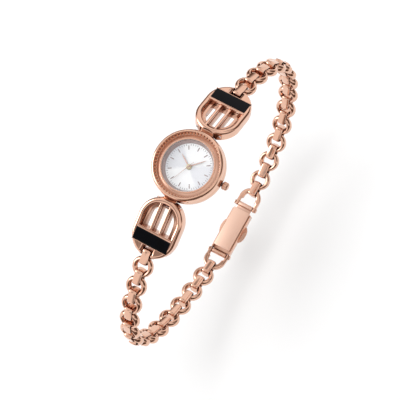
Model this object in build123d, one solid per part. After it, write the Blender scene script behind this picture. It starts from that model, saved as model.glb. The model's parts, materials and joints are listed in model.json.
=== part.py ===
from build123d import *
import math
import os

# A small bracelet watch lying on its nine o'clock side, its chain closed in a loop.
# Watch frame while building: the dial faces -Y, three o'clock is +Z, six o'clock is +X,
# and every pivot of the chain runs along Z. At the end the whole watch is laid down,
# so that the case and the clasp rest on the plane Z = 0.
# Head frame: x to six o'clock, y to three o'clock, z out of the dial, rim of the bezel at 0.

# Case middle
case_radius = 8.5
case_height = 4.0
case_wall = 1.9
case_foot_bevel = 0.6
joint_groove = 0.12

# Bezel
bezel_height = 1.7
rim_width = 0.8
rim_bevel = 0.28
channel_width = 1.2
channel_depth = 1.2
channel_rise = 0.25
inner_lip_width = 0.25
inner_lip_drop = 0.85
spigot_clearance = 0.04
flute_count = 60
flute_reach = 0.45
flute_drop = 0.15

# Crystal and gaskets
crystal_thickness = 0.8
crystal_drop = 0.9
crystal_gasket_wall = 0.12
crystal_seat_width = 0.25
rehaut_width = 0.8
back_gasket_width = 0.4
back_gasket_height = 0.25
back_gasket_inset = 0.2

# Dial and markers
rehaut_depth = 1.1
dial_thickness = 0.3
dial_clearance = 0.08
marker_length = 0.95
marker_width = 0.16
marker_height = 0.12
marker_margin = 0.5
marker_count = 12

# Hands and the arbors they sit on, from the outermost pipe inwards.
# A margin is the room between the tip of a hand and the rehaut.
hand_thickness = 0.1
hand_gap = 0.1
hour_hand_margin = 1.95
hour_hand_width = 0.34
minute_hand_margin = 1.15
minute_hand_width = 0.28
seconds_hand_margin = 0.75
seconds_hand_tail = 1.5
seconds_hand_width = 0.12
hand_boss_wall = 0.16
hour_pipe_radius = 0.62
minute_pipe_radius = 0.42
seconds_arbor_radius = 0.15
pipe_clearance = 0.05
pipe_wall = 0.13
hour_hand_turn = 303.8
minute_hand_turn = 45.4
seconds_hand_turn = 204.0

# Movement, with the shares of the main plate's radius that its pieces take
plate_height = 1.25
plate_floor = 0.35
wheel_recess_share = 0.345
battery_radius_share = 0.465
coil_length_share = 0.85
coil_offset_share = 0.7
board_width_share = 0.34
wheel_radius_shares = (0.9, 0.8, 0.7)
wheel_thickness = 0.16
wheel_gap = 0.12
holder_wall = 0.7
holder_clearance = 0.05
battery_height = 1.1
battery_step = 0.2
coil_radius = 0.5
coil_cheek = 0.3
board_thickness = 0.25
bridge_height = 0.4
bridge_pillar_radius = 0.4
movement_gap = 0.08

# Case back
back_height = 0.6
back_inset = 0.85
back_lip_width = 0.3
back_lip_height = 0.4
back_edge_chamfer = 0.25

# Crown, stem and tube
crown_radius = 0.95
crown_length = 1.35
crown_gap = 0.3
crown_level = 3.7
crown_flutes = 16
crown_flute_depth = 0.1
crown_cap_bevel = 0.35
stem_radius = 0.36
stem_clearance = 0.05
stem_seat_depth = 0.8
tube_wall = 0.25

# Hinge between the case and each end piece
hinge_reach = 0.85
hinge_level = 2.55
knuckle_radius = 0.95
knuckle_length = 3.2
knuckle_clearance = 0.1
lug_thickness = 1.5
pin_radius = 0.36
pin_clearance = 0.04

# End pieces
end_length = 14.6
end_width = 11.0
end_depth = 3.0
end_nose = 1.0
end_bevel = 0.55
end_relief = 0.15
window_wall = 1.5
window_length = 6.75
fin_count = 2
fin_thickness = 0.65
fin_height = 2.7
fin_drop = 0.2
shelf_width = 0.85
shelf_drop = 1.0
slot_web = 1.0
accent_rib_width = 0.28
accent_rib_height = 0.14
inlay_length = 9.1
inlay_width = 3.0
inlay_depth = 0.6
inlay_proud = 0.12
inlay_clearance = 0.03
inlay_gap = 0.3
strap_hole_length = 1.5
strap_side_gap = 0.25

# Chain
link_count = 13
ring_radius = 2.6
wire_size = 1.2
ring_depth = 1.8
wire_face_share = 0.4
wire_crest_share = 0.45
ring_gap = 0.13
strap_width = 1.9
strap_thickness = 0.3
strap_bevel = 0.3
strap_clearance = 0.07

# Rest shape of the loop: turn at each pivot in degrees, from the end piece to the clasp
end_droop_12h = 28.5
end_droop_6h = 20.0
rest_bends_12h = (8.0, 9.5, 10.5, 12.0, 12.5, 12.5, 11.5, 10.5, 10.0, 10.0, 10.5, 11.5, 12.5, 13.5)
rest_bends_6h = (7.0, 8.5, 10.0, 11.5, 13.5, 14.5, 15.0, 14.0, 12.5, 10.0, 8.0, 6.5, 5.0, 4.0)
closing_steps = 50
closing_low = 0.6
closing_high = 1.4

# End links and the pins of the clasp
shackle_radius = 2.8
shackle_leg = 0.8
shackle_reach = 2.3
clasp_pin_radius = 0.36
pin_head_radius = 0.55
pin_head_height = 0.25

# Clasp
clasp_span = 13.5
clasp_width = 4.4
clasp_plate = 0.45
clasp_wall = 0.35
clasp_depth = 1.25
clasp_knuckle_radius = 0.62
clasp_end_gap = 0.8
clasp_side_gap = 0.1
cover_plate = 0.45
cover_flange = 0.3
cover_gap = 0.08
cover_pin_offset = 2.3
cover_pin_radius = 0.3
cover_start = 0.9
cover_tail = 0.6
ear_length = 4.6
ear_reach = 0.95
ear_thickness = 0.45

# One overrun serves every cut
overrun = 1.0

# Radii and levels that follow from the sizes above
bore_radius = case_radius - case_wall
channel_outer = case_radius - rim_width
channel_inner = channel_outer - channel_width
crystal_bore = channel_inner - inner_lip_width
crystal_radius = crystal_bore - crystal_gasket_wall
rehaut_radius = crystal_bore - rehaut_width
hour_hand_length = rehaut_radius - hour_hand_margin
minute_hand_length = rehaut_radius - minute_hand_margin
seconds_hand_length = rehaut_radius - seconds_hand_margin
crystal_top = -crystal_drop
crystal_bottom = crystal_top - crystal_thickness
dial_top = crystal_bottom - rehaut_depth
dial_bottom = dial_top - dial_thickness
case_top = -bezel_height
case_bottom = case_top - case_height
plate_radius = bore_radius - holder_wall - 2 * holder_clearance
plate_bottom = dial_bottom - plate_height
wheel_recess_radius = wheel_recess_share * plate_radius
battery_radius = battery_radius_share * plate_radius
coil_length = coil_length_share * plate_radius
coil_offset = coil_offset_share * plate_radius
board_width = board_width_share * plate_radius
crown_axis = -crown_level
hinge_x = case_radius + hinge_reach
wire_half = wire_size / 2
wire_centre = ring_radius - wire_half
link_pitch = 2 * ring_radius + ring_gap
wire_spacing = ring_gap + wire_size
end_bar_x = end_length - end_nose - wire_half
shackle_pin_x = wire_spacing + wire_centre + shackle_reach


def washer(outer, inner, bottom, height):
    """A flat ring about z, or a disc where inner is zero."""
    with BuildPart() as made:
        with BuildSketch(Plane.XY.offset(bottom)):
            Circle(outer)
            if inner > 0:
                Circle(inner, mode=Mode.SUBTRACT)
        extrude(amount=height)
    return made.part


def rod(radius, length, place):
    """A round bar of that length, centred on the place and running along its z."""
    return place * Cylinder(radius, length)


def revolved(points):
    """The solid that a closed outline of radii and heights sweeps about z."""
    with BuildPart() as made:
        with BuildSketch(Plane.XZ):
            with BuildLine():
                Polyline(*points, close=True)
            make_face()
        revolve(axis=Axis.Z)
    return made.part


def along_y(x, y, z):
    """A place whose own z axis runs along +y."""
    return Location((x, y, z), (-90, 0, 0))


# Case

def make_case_middle():
    body = revolved([
        (bore_radius, case_top),
        (case_radius - joint_groove, case_top),
        (case_radius, case_top - joint_groove),
        (case_radius, case_bottom + case_foot_bevel),
        (case_radius - case_foot_bevel, case_bottom),
        (bore_radius, case_bottom),
    ])
    for side in (-1, 1):
        arm = Box(hinge_x - bore_radius, knuckle_length, lug_thickness)
        arm_x = side * (hinge_x + bore_radius) / 2
        body += Location((arm_x, 0, -hinge_level)) * arm
        body += rod(knuckle_radius, knuckle_length, along_y(side * hinge_x, 0, -hinge_level))
    body -= washer(bore_radius, 0, case_bottom - overrun, case_height + 2 * overrun)
    for side in (-1, 1):
        bore = rod(pin_radius, knuckle_length + overrun, along_y(side * hinge_x, 0, -hinge_level))
        body -= bore
    tube_bore = along_y(0, case_radius - case_wall / 2, crown_axis)
    body -= rod(stem_radius + stem_clearance + tube_wall, case_wall + 2 * overrun, tube_bore)
    groove_outer = bore_radius + back_gasket_inset + back_gasket_width
    body -= washer(groove_outer, groove_outer - back_gasket_width, case_bottom, back_gasket_height)
    return body


def make_bezel():
    floor = -channel_depth
    spigot = bore_radius - spigot_clearance
    body = revolved([
        (rehaut_radius, dial_top),
        (spigot, dial_top),
        (spigot, case_top),
        (case_radius - joint_groove, case_top),
        (case_radius, case_top + joint_groove),
        (case_radius, -rim_bevel),
        (case_radius - rim_bevel, 0),
        (channel_outer, 0),
        (channel_outer, -flute_drop),
        (channel_outer - flute_reach, floor),
        (channel_inner, floor + channel_rise),
        (channel_inner, -inner_lip_drop),
        (crystal_bore, -inner_lip_drop),
        (crystal_bore, crystal_bottom),
        (crystal_bore - crystal_seat_width, crystal_bottom),
    ])
    with BuildPart() as flutes:
        flute_width = math.pi * channel_outer / flute_count
        with BuildSketch(Plane.XY.offset(floor)):
            with PolarLocations(channel_outer - flute_reach / 2, flute_count):
                Rectangle(flute_reach, flute_width)
        extrude(amount=channel_depth - flute_drop)
    return body - flutes.part


def make_gaskets():
    """The crystal gasket and the case back gasket, two rings of one kind."""
    upper = washer(crystal_bore, crystal_radius, crystal_bottom, crystal_thickness)
    outer = bore_radius + back_gasket_inset + back_gasket_width
    lower = washer(outer, outer - back_gasket_width, case_bottom, back_gasket_height)
    return Compound(children=[upper.solid(), lower.solid()])


def make_case_back():
    rim = case_radius - back_inset
    disc = washer(rim, 0, case_bottom - back_height, back_height)
    disc = chamfer(disc.edges().group_by(Axis.Z)[0], back_edge_chamfer)
    lip_outer = bore_radius - spigot_clearance
    return disc + washer(lip_outer, lip_outer - back_lip_width, case_bottom, back_lip_height)


# Dial and hands

def make_dial():
    disc = washer(bore_radius - dial_clearance, 0, dial_bottom, dial_thickness)
    return disc - washer(hour_pipe_radius + pipe_clearance, 0, dial_bottom - overrun, 3 * overrun)


def make_markers():
    reach = rehaut_radius - marker_margin - marker_length / 2
    bars = []
    for index in range(marker_count):
        place = Rot(0, 0, index * 360 / marker_count) * Pos(reach, 0, dial_top + marker_height / 2)
        bars.append((place * Box(marker_length, marker_width, marker_height)).solid())
    return Compound(children=bars)


def make_hand(length, tail, width, bottom, pipe, turn):
    """A tapered hand with a round boss, turned clockwise from twelve o'clock."""
    boss = pipe + hand_boss_wall
    with BuildPart() as made:
        with BuildSketch(Plane.XY.offset(bottom)):
            Polygon(
                (tail, width / 2),
                (tail, -width / 2),
                (-length, -width / 4),
                (-length, width / 4),
                align=None,
            )
            Circle(boss)
            Circle(pipe, mode=Mode.SUBTRACT)
        extrude(amount=hand_thickness)
    return Rot(0, 0, -turn) * made.part


def make_wheel(radius, level, pipe, bore, top):
    """A wheel at a level in the plate, with the pipe or arbor that carries its hand."""
    wheel = washer(radius, bore, level, wheel_thickness)
    return wheel + washer(pipe, bore, level, top - level)


# Movement

def make_main_plate():
    plate = washer(plate_radius, 0, plate_bottom, plate_height)
    recess_floor = plate_bottom + plate_floor
    plate -= washer(wheel_recess_radius, 0, recess_floor, plate_height)
    plate -= washer(seconds_arbor_radius + pipe_clearance, 0, plate_bottom - overrun, 2 * overrun)
    stem_way_length = 2 * (plate_radius - wheel_recess_radius) + wheel_gap
    stem_way = rod(stem_radius + stem_clearance, stem_way_length, along_y(0, plate_radius, crown_axis))
    return plate - stem_way


def make_holder():
    bottom = case_bottom + back_lip_height + movement_gap
    ring = washer(bore_radius - holder_clearance, plate_radius + holder_clearance, bottom, dial_bottom - bottom)
    stem_way = rod(stem_radius + stem_clearance, 3 * holder_wall, along_y(0, bore_radius, crown_axis))
    return ring - stem_way


def make_battery():
    can = washer(battery_radius, 0, plate_bottom - battery_height, battery_height - battery_step)
    cap = washer(battery_radius - battery_step, 0, plate_bottom - battery_step, battery_step)
    return Pos(plate_radius - battery_radius - movement_gap, 0, 0) * (can + cap)


def make_coil():
    level = plate_bottom - coil_radius - movement_gap
    place = along_y(-coil_offset, 0, level)
    winding = rod(coil_radius, coil_length - 2 * coil_cheek, place)
    core = Box(2 * coil_radius, coil_length, 2 * coil_radius)
    core = Location((-coil_offset, 0, level)) * core
    middle = Box(2 * coil_radius + overrun, coil_length - 2 * coil_cheek, 2 * coil_radius + overrun)
    cheeks = core - Location((-coil_offset, 0, level)) * middle
    return winding + cheeks + rod(coil_radius / 2, coil_length, place)


def make_circuit_board():
    board = Box(board_width, 2 * coil_length / 3, board_thickness)
    x = -coil_offset + coil_radius + movement_gap + board_width / 2
    return Pos(x, 0, plate_bottom - board_thickness / 2) * board


def make_train_bridge():
    level = plate_bottom - battery_height
    x = -coil_offset + coil_radius + movement_gap + board_width / 2
    bridge = Pos(x, 0, level) * Box(board_width, coil_length + 2 * bridge_pillar_radius, bridge_height)
    reach = coil_length / 2
    for side in (-1, 1):
        drop = battery_height - bridge_height / 2
        pillar = Cylinder(bridge_pillar_radius, drop, align=(Align.CENTER, Align.CENTER, Align.MAX))
        bridge += Pos(x, side * reach, plate_bottom) * pillar
    return bridge


# Crown

def make_crown_tube():
    outer = stem_radius + stem_clearance + tube_wall
    place = along_y(0, case_radius - case_wall / 2, crown_axis)
    tube = rod(outer, case_wall, place)
    return tube - rod(stem_radius + stem_clearance, case_wall + overrun, place)


def make_stem():
    inner_end = wheel_recess_radius + wheel_gap
    outer_end = case_radius + crown_gap + stem_seat_depth
    place = along_y(0, (inner_end + outer_end) / 2, crown_axis)
    return rod(stem_radius, outer_end - inner_end, place)


def make_crown():
    with BuildPart() as made:
        Cylinder(crown_radius, crown_length, align=(Align.CENTER, Align.CENTER, Align.MIN))
        chamfer(made.edges().group_by(Axis.Z)[-1], crown_cap_bevel)
        flute = math.pi * crown_radius / crown_flutes
        with BuildSketch():
            with PolarLocations(crown_radius, crown_flutes):
                Rectangle(2 * crown_flute_depth, flute)
        extrude(amount=crown_length - crown_cap_bevel, mode=Mode.SUBTRACT)
        Cylinder(
            stem_radius,
            2 * stem_seat_depth,
            mode=Mode.SUBTRACT,
        )
    return along_y(0, case_radius + crown_gap, crown_axis) * made.part


# End pieces, in their own frame: x away from the case, y to three o'clock, z outwards,
# with the hinge axis along y through the origin

def make_end_body():
    top = end_depth / 2
    with BuildPart() as made:
        with BuildSketch(Plane.XY.offset(-top)):
            with Locations((end_length / 2 - end_nose, 0)):
                SlotOverall(end_length, end_width)
        extrude(amount=end_depth)
        chamfer(made.edges().group_by(Axis.Z)[-1], end_bevel)
        chamfer(made.edges().group_by(Axis.Z)[0], end_bevel / 2)
    return made.part


def window_block(height, bottom, inset=0):
    """The arched window as a block, narrower by an inset: a half round nose and a straight stretch."""
    radius = end_width / 2 - window_wall - inset
    nose = end_width / 2 - end_nose
    far = window_wall - end_nose + window_length
    with BuildPart() as made:
        with BuildSketch(Plane.XY.offset(bottom)):
            with Locations((nose, 0)):
                Circle(radius)
            with Locations(((nose + far) / 2 + radius / 2, 0)):
                Rectangle(far - nose + radius, 2 * radius)
            with Locations((far + end_width / 2, 0)):
                Rectangle(end_width, end_width + overrun, mode=Mode.SUBTRACT)
        extrude(amount=height)
    return made.part


def inlay_centre():
    """Middle of the inlay along the end piece."""
    return window_wall - end_nose + window_length + accent_rib_width + inlay_gap + inlay_width / 2


def fin_places():
    """Where the fins stand, so that the slots beside them are equally wide."""
    pitch = (end_width - 2 * window_wall - 2 * shelf_width + slot_web) / (fin_count + 1)
    return [(index - (fin_count - 1) / 2) * pitch for index in range(fin_count)]


def make_shelf():
    """The window's slotted floor: a ledge along the arch and a web under each fin."""
    bottom = -end_depth / 2
    height = end_depth - shelf_drop
    slots = window_block(height + 2 * overrun, bottom - overrun, shelf_width)
    for y in fin_places():
        slots -= Pos(0, y, 0) * Box(2 * end_width, slot_web, 2 * end_depth)
    return window_block(height, bottom) - slots


def make_end_piece():
    top = end_depth / 2
    body = make_end_body()
    window = window_block(end_depth + 2 * overrun, -top - overrun)
    body -= window
    body += make_shelf()
    for y in fin_places():
        blade = Box(end_width, fin_thickness, fin_height, align=(Align.CENTER, Align.CENTER, Align.MAX))
        body += (Pos(end_width / 2, y, top - fin_drop) * blade) & window
    rib_x = window_wall - end_nose + window_length + accent_rib_width / 2
    rib = Box(accent_rib_width, inlay_length, 2 * accent_rib_height)
    body += Pos(rib_x, 0, top) * rib
    seat = Box(inlay_width, inlay_length, 2 * inlay_depth)
    body -= Pos(inlay_centre(), 0, top) * seat
    knuckle_reach = knuckle_radius + knuckle_clearance
    knuckle_slot = Box(
        end_nose + knuckle_reach,
        knuckle_length + 2 * knuckle_clearance,
        end_depth,
        align=(Align.MAX, Align.CENTER, Align.MAX),
    )
    body -= Pos(knuckle_reach, 0, knuckle_reach) * knuckle_slot
    body -= rod(pin_radius + pin_clearance, end_width, along_y(0, 0, 0))
    notch_width = strap_width + 2 * strap_side_gap
    notch = Box(strap_hole_length + wire_size + overrun, notch_width, end_depth + overrun)
    notch_x = end_bar_x - wire_half - strap_hole_length + (strap_hole_length + wire_size + overrun) / 2
    body -= Pos(notch_x, 0, 0) * notch
    body += rod(wire_half, notch_width + wire_size, along_y(end_bar_x, 0, 0))
    head = washer(case_radius + end_relief, 0, -end_width, 2 * end_width)
    for droop in (end_droop_12h, end_droop_6h, (end_droop_12h + end_droop_6h) / 4, 0, -end_droop_6h / 4):
        body -= end_place(1, droop).inverse() * head
    return body


def end_place(side, droop):
    """Place of an end piece on the head, on the twelve (-1) or six (1) o'clock side."""
    turn = 0 if side > 0 else 180
    return Rot(0, 0, turn) * Location((hinge_x, 0, -hinge_level), (0, droop, 0))


def make_inlay():
    size_x = inlay_width - 2 * inlay_clearance
    size_y = inlay_length - 2 * inlay_clearance
    height = inlay_depth + inlay_proud
    block = Box(size_x, size_y, height, align=(Align.CENTER, Align.CENTER, Align.MIN))
    block = chamfer(block.edges().group_by(Axis.Z)[-1], inlay_proud)
    return Pos(inlay_centre(), 0, end_depth / 2 - inlay_depth) * block


def make_lug_pins():
    """The two hinge pins, one on each side of the case."""
    half = math.sqrt((end_width / 2) ** 2 - (end_width / 2 - end_nose) ** 2)
    pins = []
    for side in (-1, 1):
        pins.append(rod(pin_radius, 2 * half, along_y(side * hinge_x, 0, -hinge_level)).solid())
    return Compound(children=pins)


# Chain links, in their own frame: x along the chain, z along the pivots, with the
# pivot on the wire of the part before through the origin

def strap_sizes(bends):
    """Half height of the strap's opening and the reach of its rounded end past a wire."""
    inner = ring_radius - wire_size
    bow = inner - math.sqrt(inner ** 2 - (strap_width / 2) ** 2)
    tilt = math.radians(max(bends) * closing_factor)
    rises = [
        height * math.cos(tilt) + (offset + bow) * math.sin(tilt)
        for offset, height in wire_section(0)
    ]
    return max(rises) + strap_clearance, wire_half + bow + strap_clearance


def make_strap():
    """A folded strap that goes round the wire before and the wire of its own ring."""
    half_height, reach = strap_sizes(rest_bends_12h + rest_bends_6h)
    length = wire_spacing + 2 * reach
    outer = Box(length + 2 * strap_thickness, 2 * (half_height + strap_thickness), strap_width)
    outer = chamfer(outer.edges().filter_by(Axis.Z), strap_bevel + strap_thickness / 2)
    opening = Box(length, 2 * half_height, strap_width + overrun)
    opening = chamfer(opening.edges().filter_by(Axis.Z), strap_bevel)
    return Pos(wire_spacing / 2, 0, 0) * (outer - opening)


def wire_section(radius):
    """Outline of the bevelled wire at a radius from the ring's axis, as radii and heights."""
    crest = ring_depth / 2
    face = crest * wire_face_share
    edge = wire_half * wire_crest_share
    return [
        (radius + wire_half, -face),
        (radius + wire_half, face),
        (radius + edge, crest),
        (radius - edge, crest),
        (radius - wire_half, face),
        (radius - wire_half, -face),
        (radius - edge, -crest),
        (radius + edge, -crest),
    ]


def make_ring():
    ring = Rot(90, 0, 0) * revolved(wire_section(wire_centre))
    return Pos(wire_spacing + wire_centre, 0, 0) * ring


def make_link():
    return Compound(children=[make_strap().solid(), make_ring().solid()])


def make_end_link():
    """The strap and the shackle that straddles the clasp's knuckle."""
    arch_x = wire_spacing - wire_half + shackle_radius
    inner = shackle_radius - wire_size
    eye_inner = shackle_radius - shackle_leg
    clear_x = shackle_pin_x - clasp_knuckle_radius - clasp_end_gap
    with BuildPart() as made:
        with BuildSketch(Plane.XZ.offset(-wire_half)):
            with Locations((arch_x, 0)):
                Circle(shackle_radius)
            with Locations(((arch_x + shackle_pin_x) / 2, 0)):
                Rectangle(shackle_pin_x - arch_x, 2 * shackle_radius)
            with Locations((arch_x, 0)):
                Circle(inner, mode=Mode.SUBTRACT)
            with Locations(((arch_x + shackle_pin_x + overrun) / 2, 0)):
                Rectangle(shackle_pin_x - arch_x + overrun, 2 * inner, mode=Mode.SUBTRACT)
            with Locations((clear_x + shackle_radius, 0)):
                Rectangle(2 * shackle_radius, 2 * eye_inner, mode=Mode.SUBTRACT)
        extrude(amount=wire_size)
        for side in (-1, 1):
            with Locations((shackle_pin_x, 0, side * (shackle_radius - shackle_leg / 2))):
                Cylinder(wire_half, shackle_leg)
        with Locations((shackle_pin_x, 0, 0)):
            Cylinder(clasp_pin_radius, 3 * shackle_radius, mode=Mode.SUBTRACT)
    return Compound(children=[make_strap().solid(), made.part.solid()])


def make_clasp_pin(sleeved):
    """A pin with two heads through the eyes of an end link, with or without a sleeve."""
    pin = Pos(shackle_pin_x, 0, 0) * Cylinder(clasp_pin_radius, 2 * shackle_radius)
    if sleeved:
        pin += Pos(shackle_pin_x, 0, 0) * Cylinder(clasp_knuckle_radius, 2 * knuckle_half())
    for side in (-1, 1):
        head = Cylinder(pin_head_radius, pin_head_height)
        pin += Pos(shackle_pin_x, 0, side * (shackle_radius + pin_head_height / 2)) * head
    return pin


# Clasp, in its own frame: x from the twelve o'clock pin to the six o'clock pin,
# y out of the loop, z along the pins

def knuckle_half():
    """Half length of the clasp's knuckle between the eyes of an end link."""
    return shackle_radius - shackle_leg - clasp_side_gap


def make_clasp_base():
    floor = -clasp_depth
    start = clasp_knuckle_radius + clasp_end_gap
    stop = clasp_span - clasp_knuckle_radius - clasp_end_gap
    wall_top = clasp_depth - cover_plate - cover_gap
    body = Pos((start + stop) / 2, 0, 0) * Box(
        stop - start, wall_top - floor, clasp_width, align=(Align.CENTER, Align.MAX, Align.CENTER)
    ).moved(Location((0, wall_top, 0)))
    hollow = Box(
        stop - start + overrun,
        wall_top - floor + overrun,
        clasp_width - 2 * clasp_wall,
        align=(Align.CENTER, Align.MIN, Align.CENTER),
    )
    body -= Pos((start + stop) / 2, floor + clasp_plate, 0) * hollow
    end_wall = Box(
        clasp_plate,
        clasp_depth + clasp_plate / 2,
        clasp_width - clasp_wall,
        align=(Align.MIN, Align.MIN, Align.CENTER),
    )
    body += Pos(start, floor, 0) * end_wall
    length = 2 * knuckle_half()
    body += Box(start + clasp_plate / 2, clasp_plate, length, align=(Align.MIN, Align.CENTER, Align.CENTER))
    body += Cylinder(clasp_knuckle_radius, length)
    body -= Cylinder(clasp_pin_radius + pin_clearance, length + overrun)
    body -= Pos(cover_pin_offset, 0, 0) * Cylinder(cover_pin_radius, clasp_width + overrun)
    return body


def make_clasp_cover():
    top = clasp_depth
    start = cover_pin_offset + cover_start
    stop = clasp_span - wire_half - clasp_side_gap
    half = clasp_width / 2 + cover_gap + cover_flange
    body = Pos(stop, top, 0) * Box(
        stop - start, cover_plate, 2 * half, align=(Align.MAX, Align.MAX, Align.CENTER)
    )
    flange_length = stop - cover_pin_offset + cover_tail
    for side in (-1, 1):
        flange = Box(
            flange_length, top + cover_tail, cover_flange, align=(Align.MAX, Align.MAX, Align.CENTER)
        )
        body += Pos(stop, top, side * (half - cover_flange / 2)) * flange
        ear = Pos(clasp_span / 2, top, side * (half - cover_flange)) * make_ear(side)
        body += ear
    bore = Cylinder(cover_pin_radius + pin_clearance, 2 * half + overrun)
    return body - Pos(cover_pin_offset, 0, 0) * bore


def make_ear(side):
    """A half oval finger tab that stands out past the cover's side."""
    with BuildPart() as made:
        with BuildSketch(Plane.XZ):
            Ellipse(ear_length / 2, ear_reach + cover_flange)
            with Locations((0, -side * ear_length / 2)):
                Rectangle(ear_length, ear_length, mode=Mode.SUBTRACT)
        extrude(amount=ear_thickness)
    return made.part


def make_cover_pin():
    half = clasp_width / 2 + cover_gap + cover_flange
    return Pos(cover_pin_offset, 0, 0) * Cylinder(cover_pin_radius, 2 * half)


# Rest shape of the loop, in the watch frame seen along -Z

def chain_path(side, droop, bends, factor):
    """Pivots and directions in degrees along one chain, for the sides -1 and 1."""
    x = hinge_x + end_bar_x * math.cos(math.radians(droop))
    y = hinge_level + end_bar_x * math.sin(math.radians(droop))
    steps = []
    heading = droop
    for index, bend in enumerate(bends):
        heading += bend * factor
        steps.append((side * x, y, heading if side > 0 else 180 - heading))
        reach = link_pitch if index < link_count else shackle_pin_x
        x += reach * math.cos(math.radians(heading))
        y += reach * math.sin(math.radians(heading))
    return steps, (side * x, y)


def close_loop():
    """Factor on the rest bends that brings the two chain ends one clasp apart."""
    low = closing_low
    high = closing_high
    for _ in range(closing_steps):
        factor = (low + high) / 2
        ends = [
            chain_path(-1, end_droop_12h, rest_bends_12h, factor)[1],
            chain_path(1, end_droop_6h, rest_bends_6h, factor)[1],
        ]
        if ends[1][0] - ends[0][0] > 0 and math.dist(*ends) > clasp_span:
            low = factor
        else:
            high = factor
    return factor


closing_factor = close_loop()
path_12h, clasp_start = chain_path(-1, end_droop_12h, rest_bends_12h, closing_factor)
path_6h, clasp_stop = chain_path(1, end_droop_6h, rest_bends_6h, closing_factor)
clasp_heading = math.degrees(math.atan2(clasp_stop[1] - clasp_start[1], clasp_stop[0] - clasp_start[0]))


# Assembly

def head_place():
    return Rot(90, 0, 0)


def link_place(step):
    return Location((step[0], step[1], 0), (0, 0, step[2]))


def make_head():
    recess_floor = plate_bottom + plate_floor
    levels = []
    for index in range(len(wheel_radius_shares)):
        levels.append(recess_floor + wheel_gap + index * (wheel_thickness + wheel_gap))
    levels.reverse()
    radii = [share * wheel_recess_radius for share in wheel_radius_shares]
    hour_level = dial_top + marker_height + hand_gap
    minute_level = hour_level + hand_thickness + hand_gap
    seconds_level = minute_level + hand_thickness + hand_gap
    return {
        "case_middle": make_case_middle(),
        "bezel": make_bezel(),
        "crystal": washer(crystal_radius, 0, crystal_bottom, crystal_thickness),
        "gaskets": make_gaskets(),
        "case_back": make_case_back(),
        "dial": make_dial(),
        "hour_markers": make_markers(),
        "hour_hand": make_hand(
            hour_hand_length, 0, hour_hand_width, hour_level, hour_pipe_radius, hour_hand_turn
        ),
        "minute_hand": make_hand(
            minute_hand_length, 0, minute_hand_width, minute_level, minute_pipe_radius, minute_hand_turn
        ),
        "seconds_hand": make_hand(
            seconds_hand_length,
            seconds_hand_tail,
            seconds_hand_width,
            seconds_level,
            seconds_arbor_radius,
            seconds_hand_turn,
        ),
        "hour_wheel": make_wheel(
            radii[0], levels[0], hour_pipe_radius, hour_pipe_radius - pipe_wall, hour_level + hand_thickness
        ),
        "centre_wheel": make_wheel(
            radii[1],
            levels[1],
            minute_pipe_radius,
            seconds_arbor_radius + pipe_clearance,
            minute_level + hand_thickness,
        ),
        "seconds_wheel": make_wheel(
            radii[2], levels[2], seconds_arbor_radius, 0, seconds_level + hand_thickness
        ),
        "main_plate": make_main_plate(),
        "movement_holder": make_holder(),
        "battery": make_battery(),
        "coil": make_coil(),
        "circuit_board": make_circuit_board(),
        "train_bridge": make_train_bridge(),
        "crown_tube": make_crown_tube(),
        "stem": make_stem(),
        "crown": make_crown(),
        "lug_pins": make_lug_pins(),
    }


def make_watch():
    """Every sub-part by name, in the watch frame."""
    parts = {}
    for name, shape in make_head().items():
        parts[name] = head_place() * shape
    end_piece = make_end_piece()
    inlay = make_inlay()
    link = make_link()
    end_link = make_end_link()
    sides = (("12h", -1, end_droop_12h, path_12h), ("6h", 1, end_droop_6h, path_6h))
    for label, side, droop, path in sides:
        place = head_place() * end_place(side, droop)
        parts["end_piece_" + label] = place * end_piece
        parts["inlay_" + label] = place * inlay
        for index in range(link_count):
            parts[f"link_{label}_{index + 1:02d}"] = link_place(path[index]) * link
        parts["end_link_" + label] = link_place(path[link_count]) * end_link
        parts["clasp_pin_" + label] = link_place(path[link_count]) * make_clasp_pin(side > 0)
    clasp = Location((clasp_start[0], clasp_start[1], 0), (0, 0, clasp_heading))
    parts["clasp_base"] = clasp * make_clasp_base()
    parts["clasp_cover"] = clasp * make_clasp_cover()
    parts["cover_pin"] = clasp * make_cover_pin()
    return parts


def lay_down(parts):
    """Tip the watch onto its case and clasp, and put its foot on the origin."""
    clasp_reach = clasp_width / 2 + cover_gap + cover_flange + ear_reach
    clasp_y = (clasp_start[1] + clasp_stop[1]) / 2
    foot_y = bezel_height + case_height - case_foot_bevel
    tilt = math.degrees(math.atan2(case_radius - clasp_reach, clasp_y - foot_y))
    turned = {name: Rot(-tilt, 0, 0) * shape for name, shape in parts.items()}
    boxes = [shape.bounding_box() for shape in turned.values()]
    low_x, high_x = min(box.min.X for box in boxes), max(box.max.X for box in boxes)
    low_y, high_y = min(box.min.Y for box in boxes), max(box.max.Y for box in boxes)
    shift = Pos(-(low_x + high_x) / 2, -(low_y + high_y) / 2, -min(box.min.Z for box in boxes))
    return {name: shift * shape for name, shape in turned.items()}, tilt, shift


laid, lie_angle, lie_shift = lay_down(make_watch())
os.makedirs("parts", exist_ok=True)
for part_name, part_shape in laid.items():
    export_step(part_shape, f"parts/{part_name}.step")
print("nodes", len(laid), "closing factor", round(closing_factor, 4), "clasp heading", round(clasp_heading, 2))
print("tilt", round(lie_angle, 3), "shift", lie_shift.position)
print("clasp from", clasp_start, "to", clasp_stop)
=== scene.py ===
import json
import logging
import math
from dataclasses import dataclass, field
from enum import Enum
from typing import Callable, Sequence

import bmesh
import bpy
from mathutils import Matrix, Vector


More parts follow.
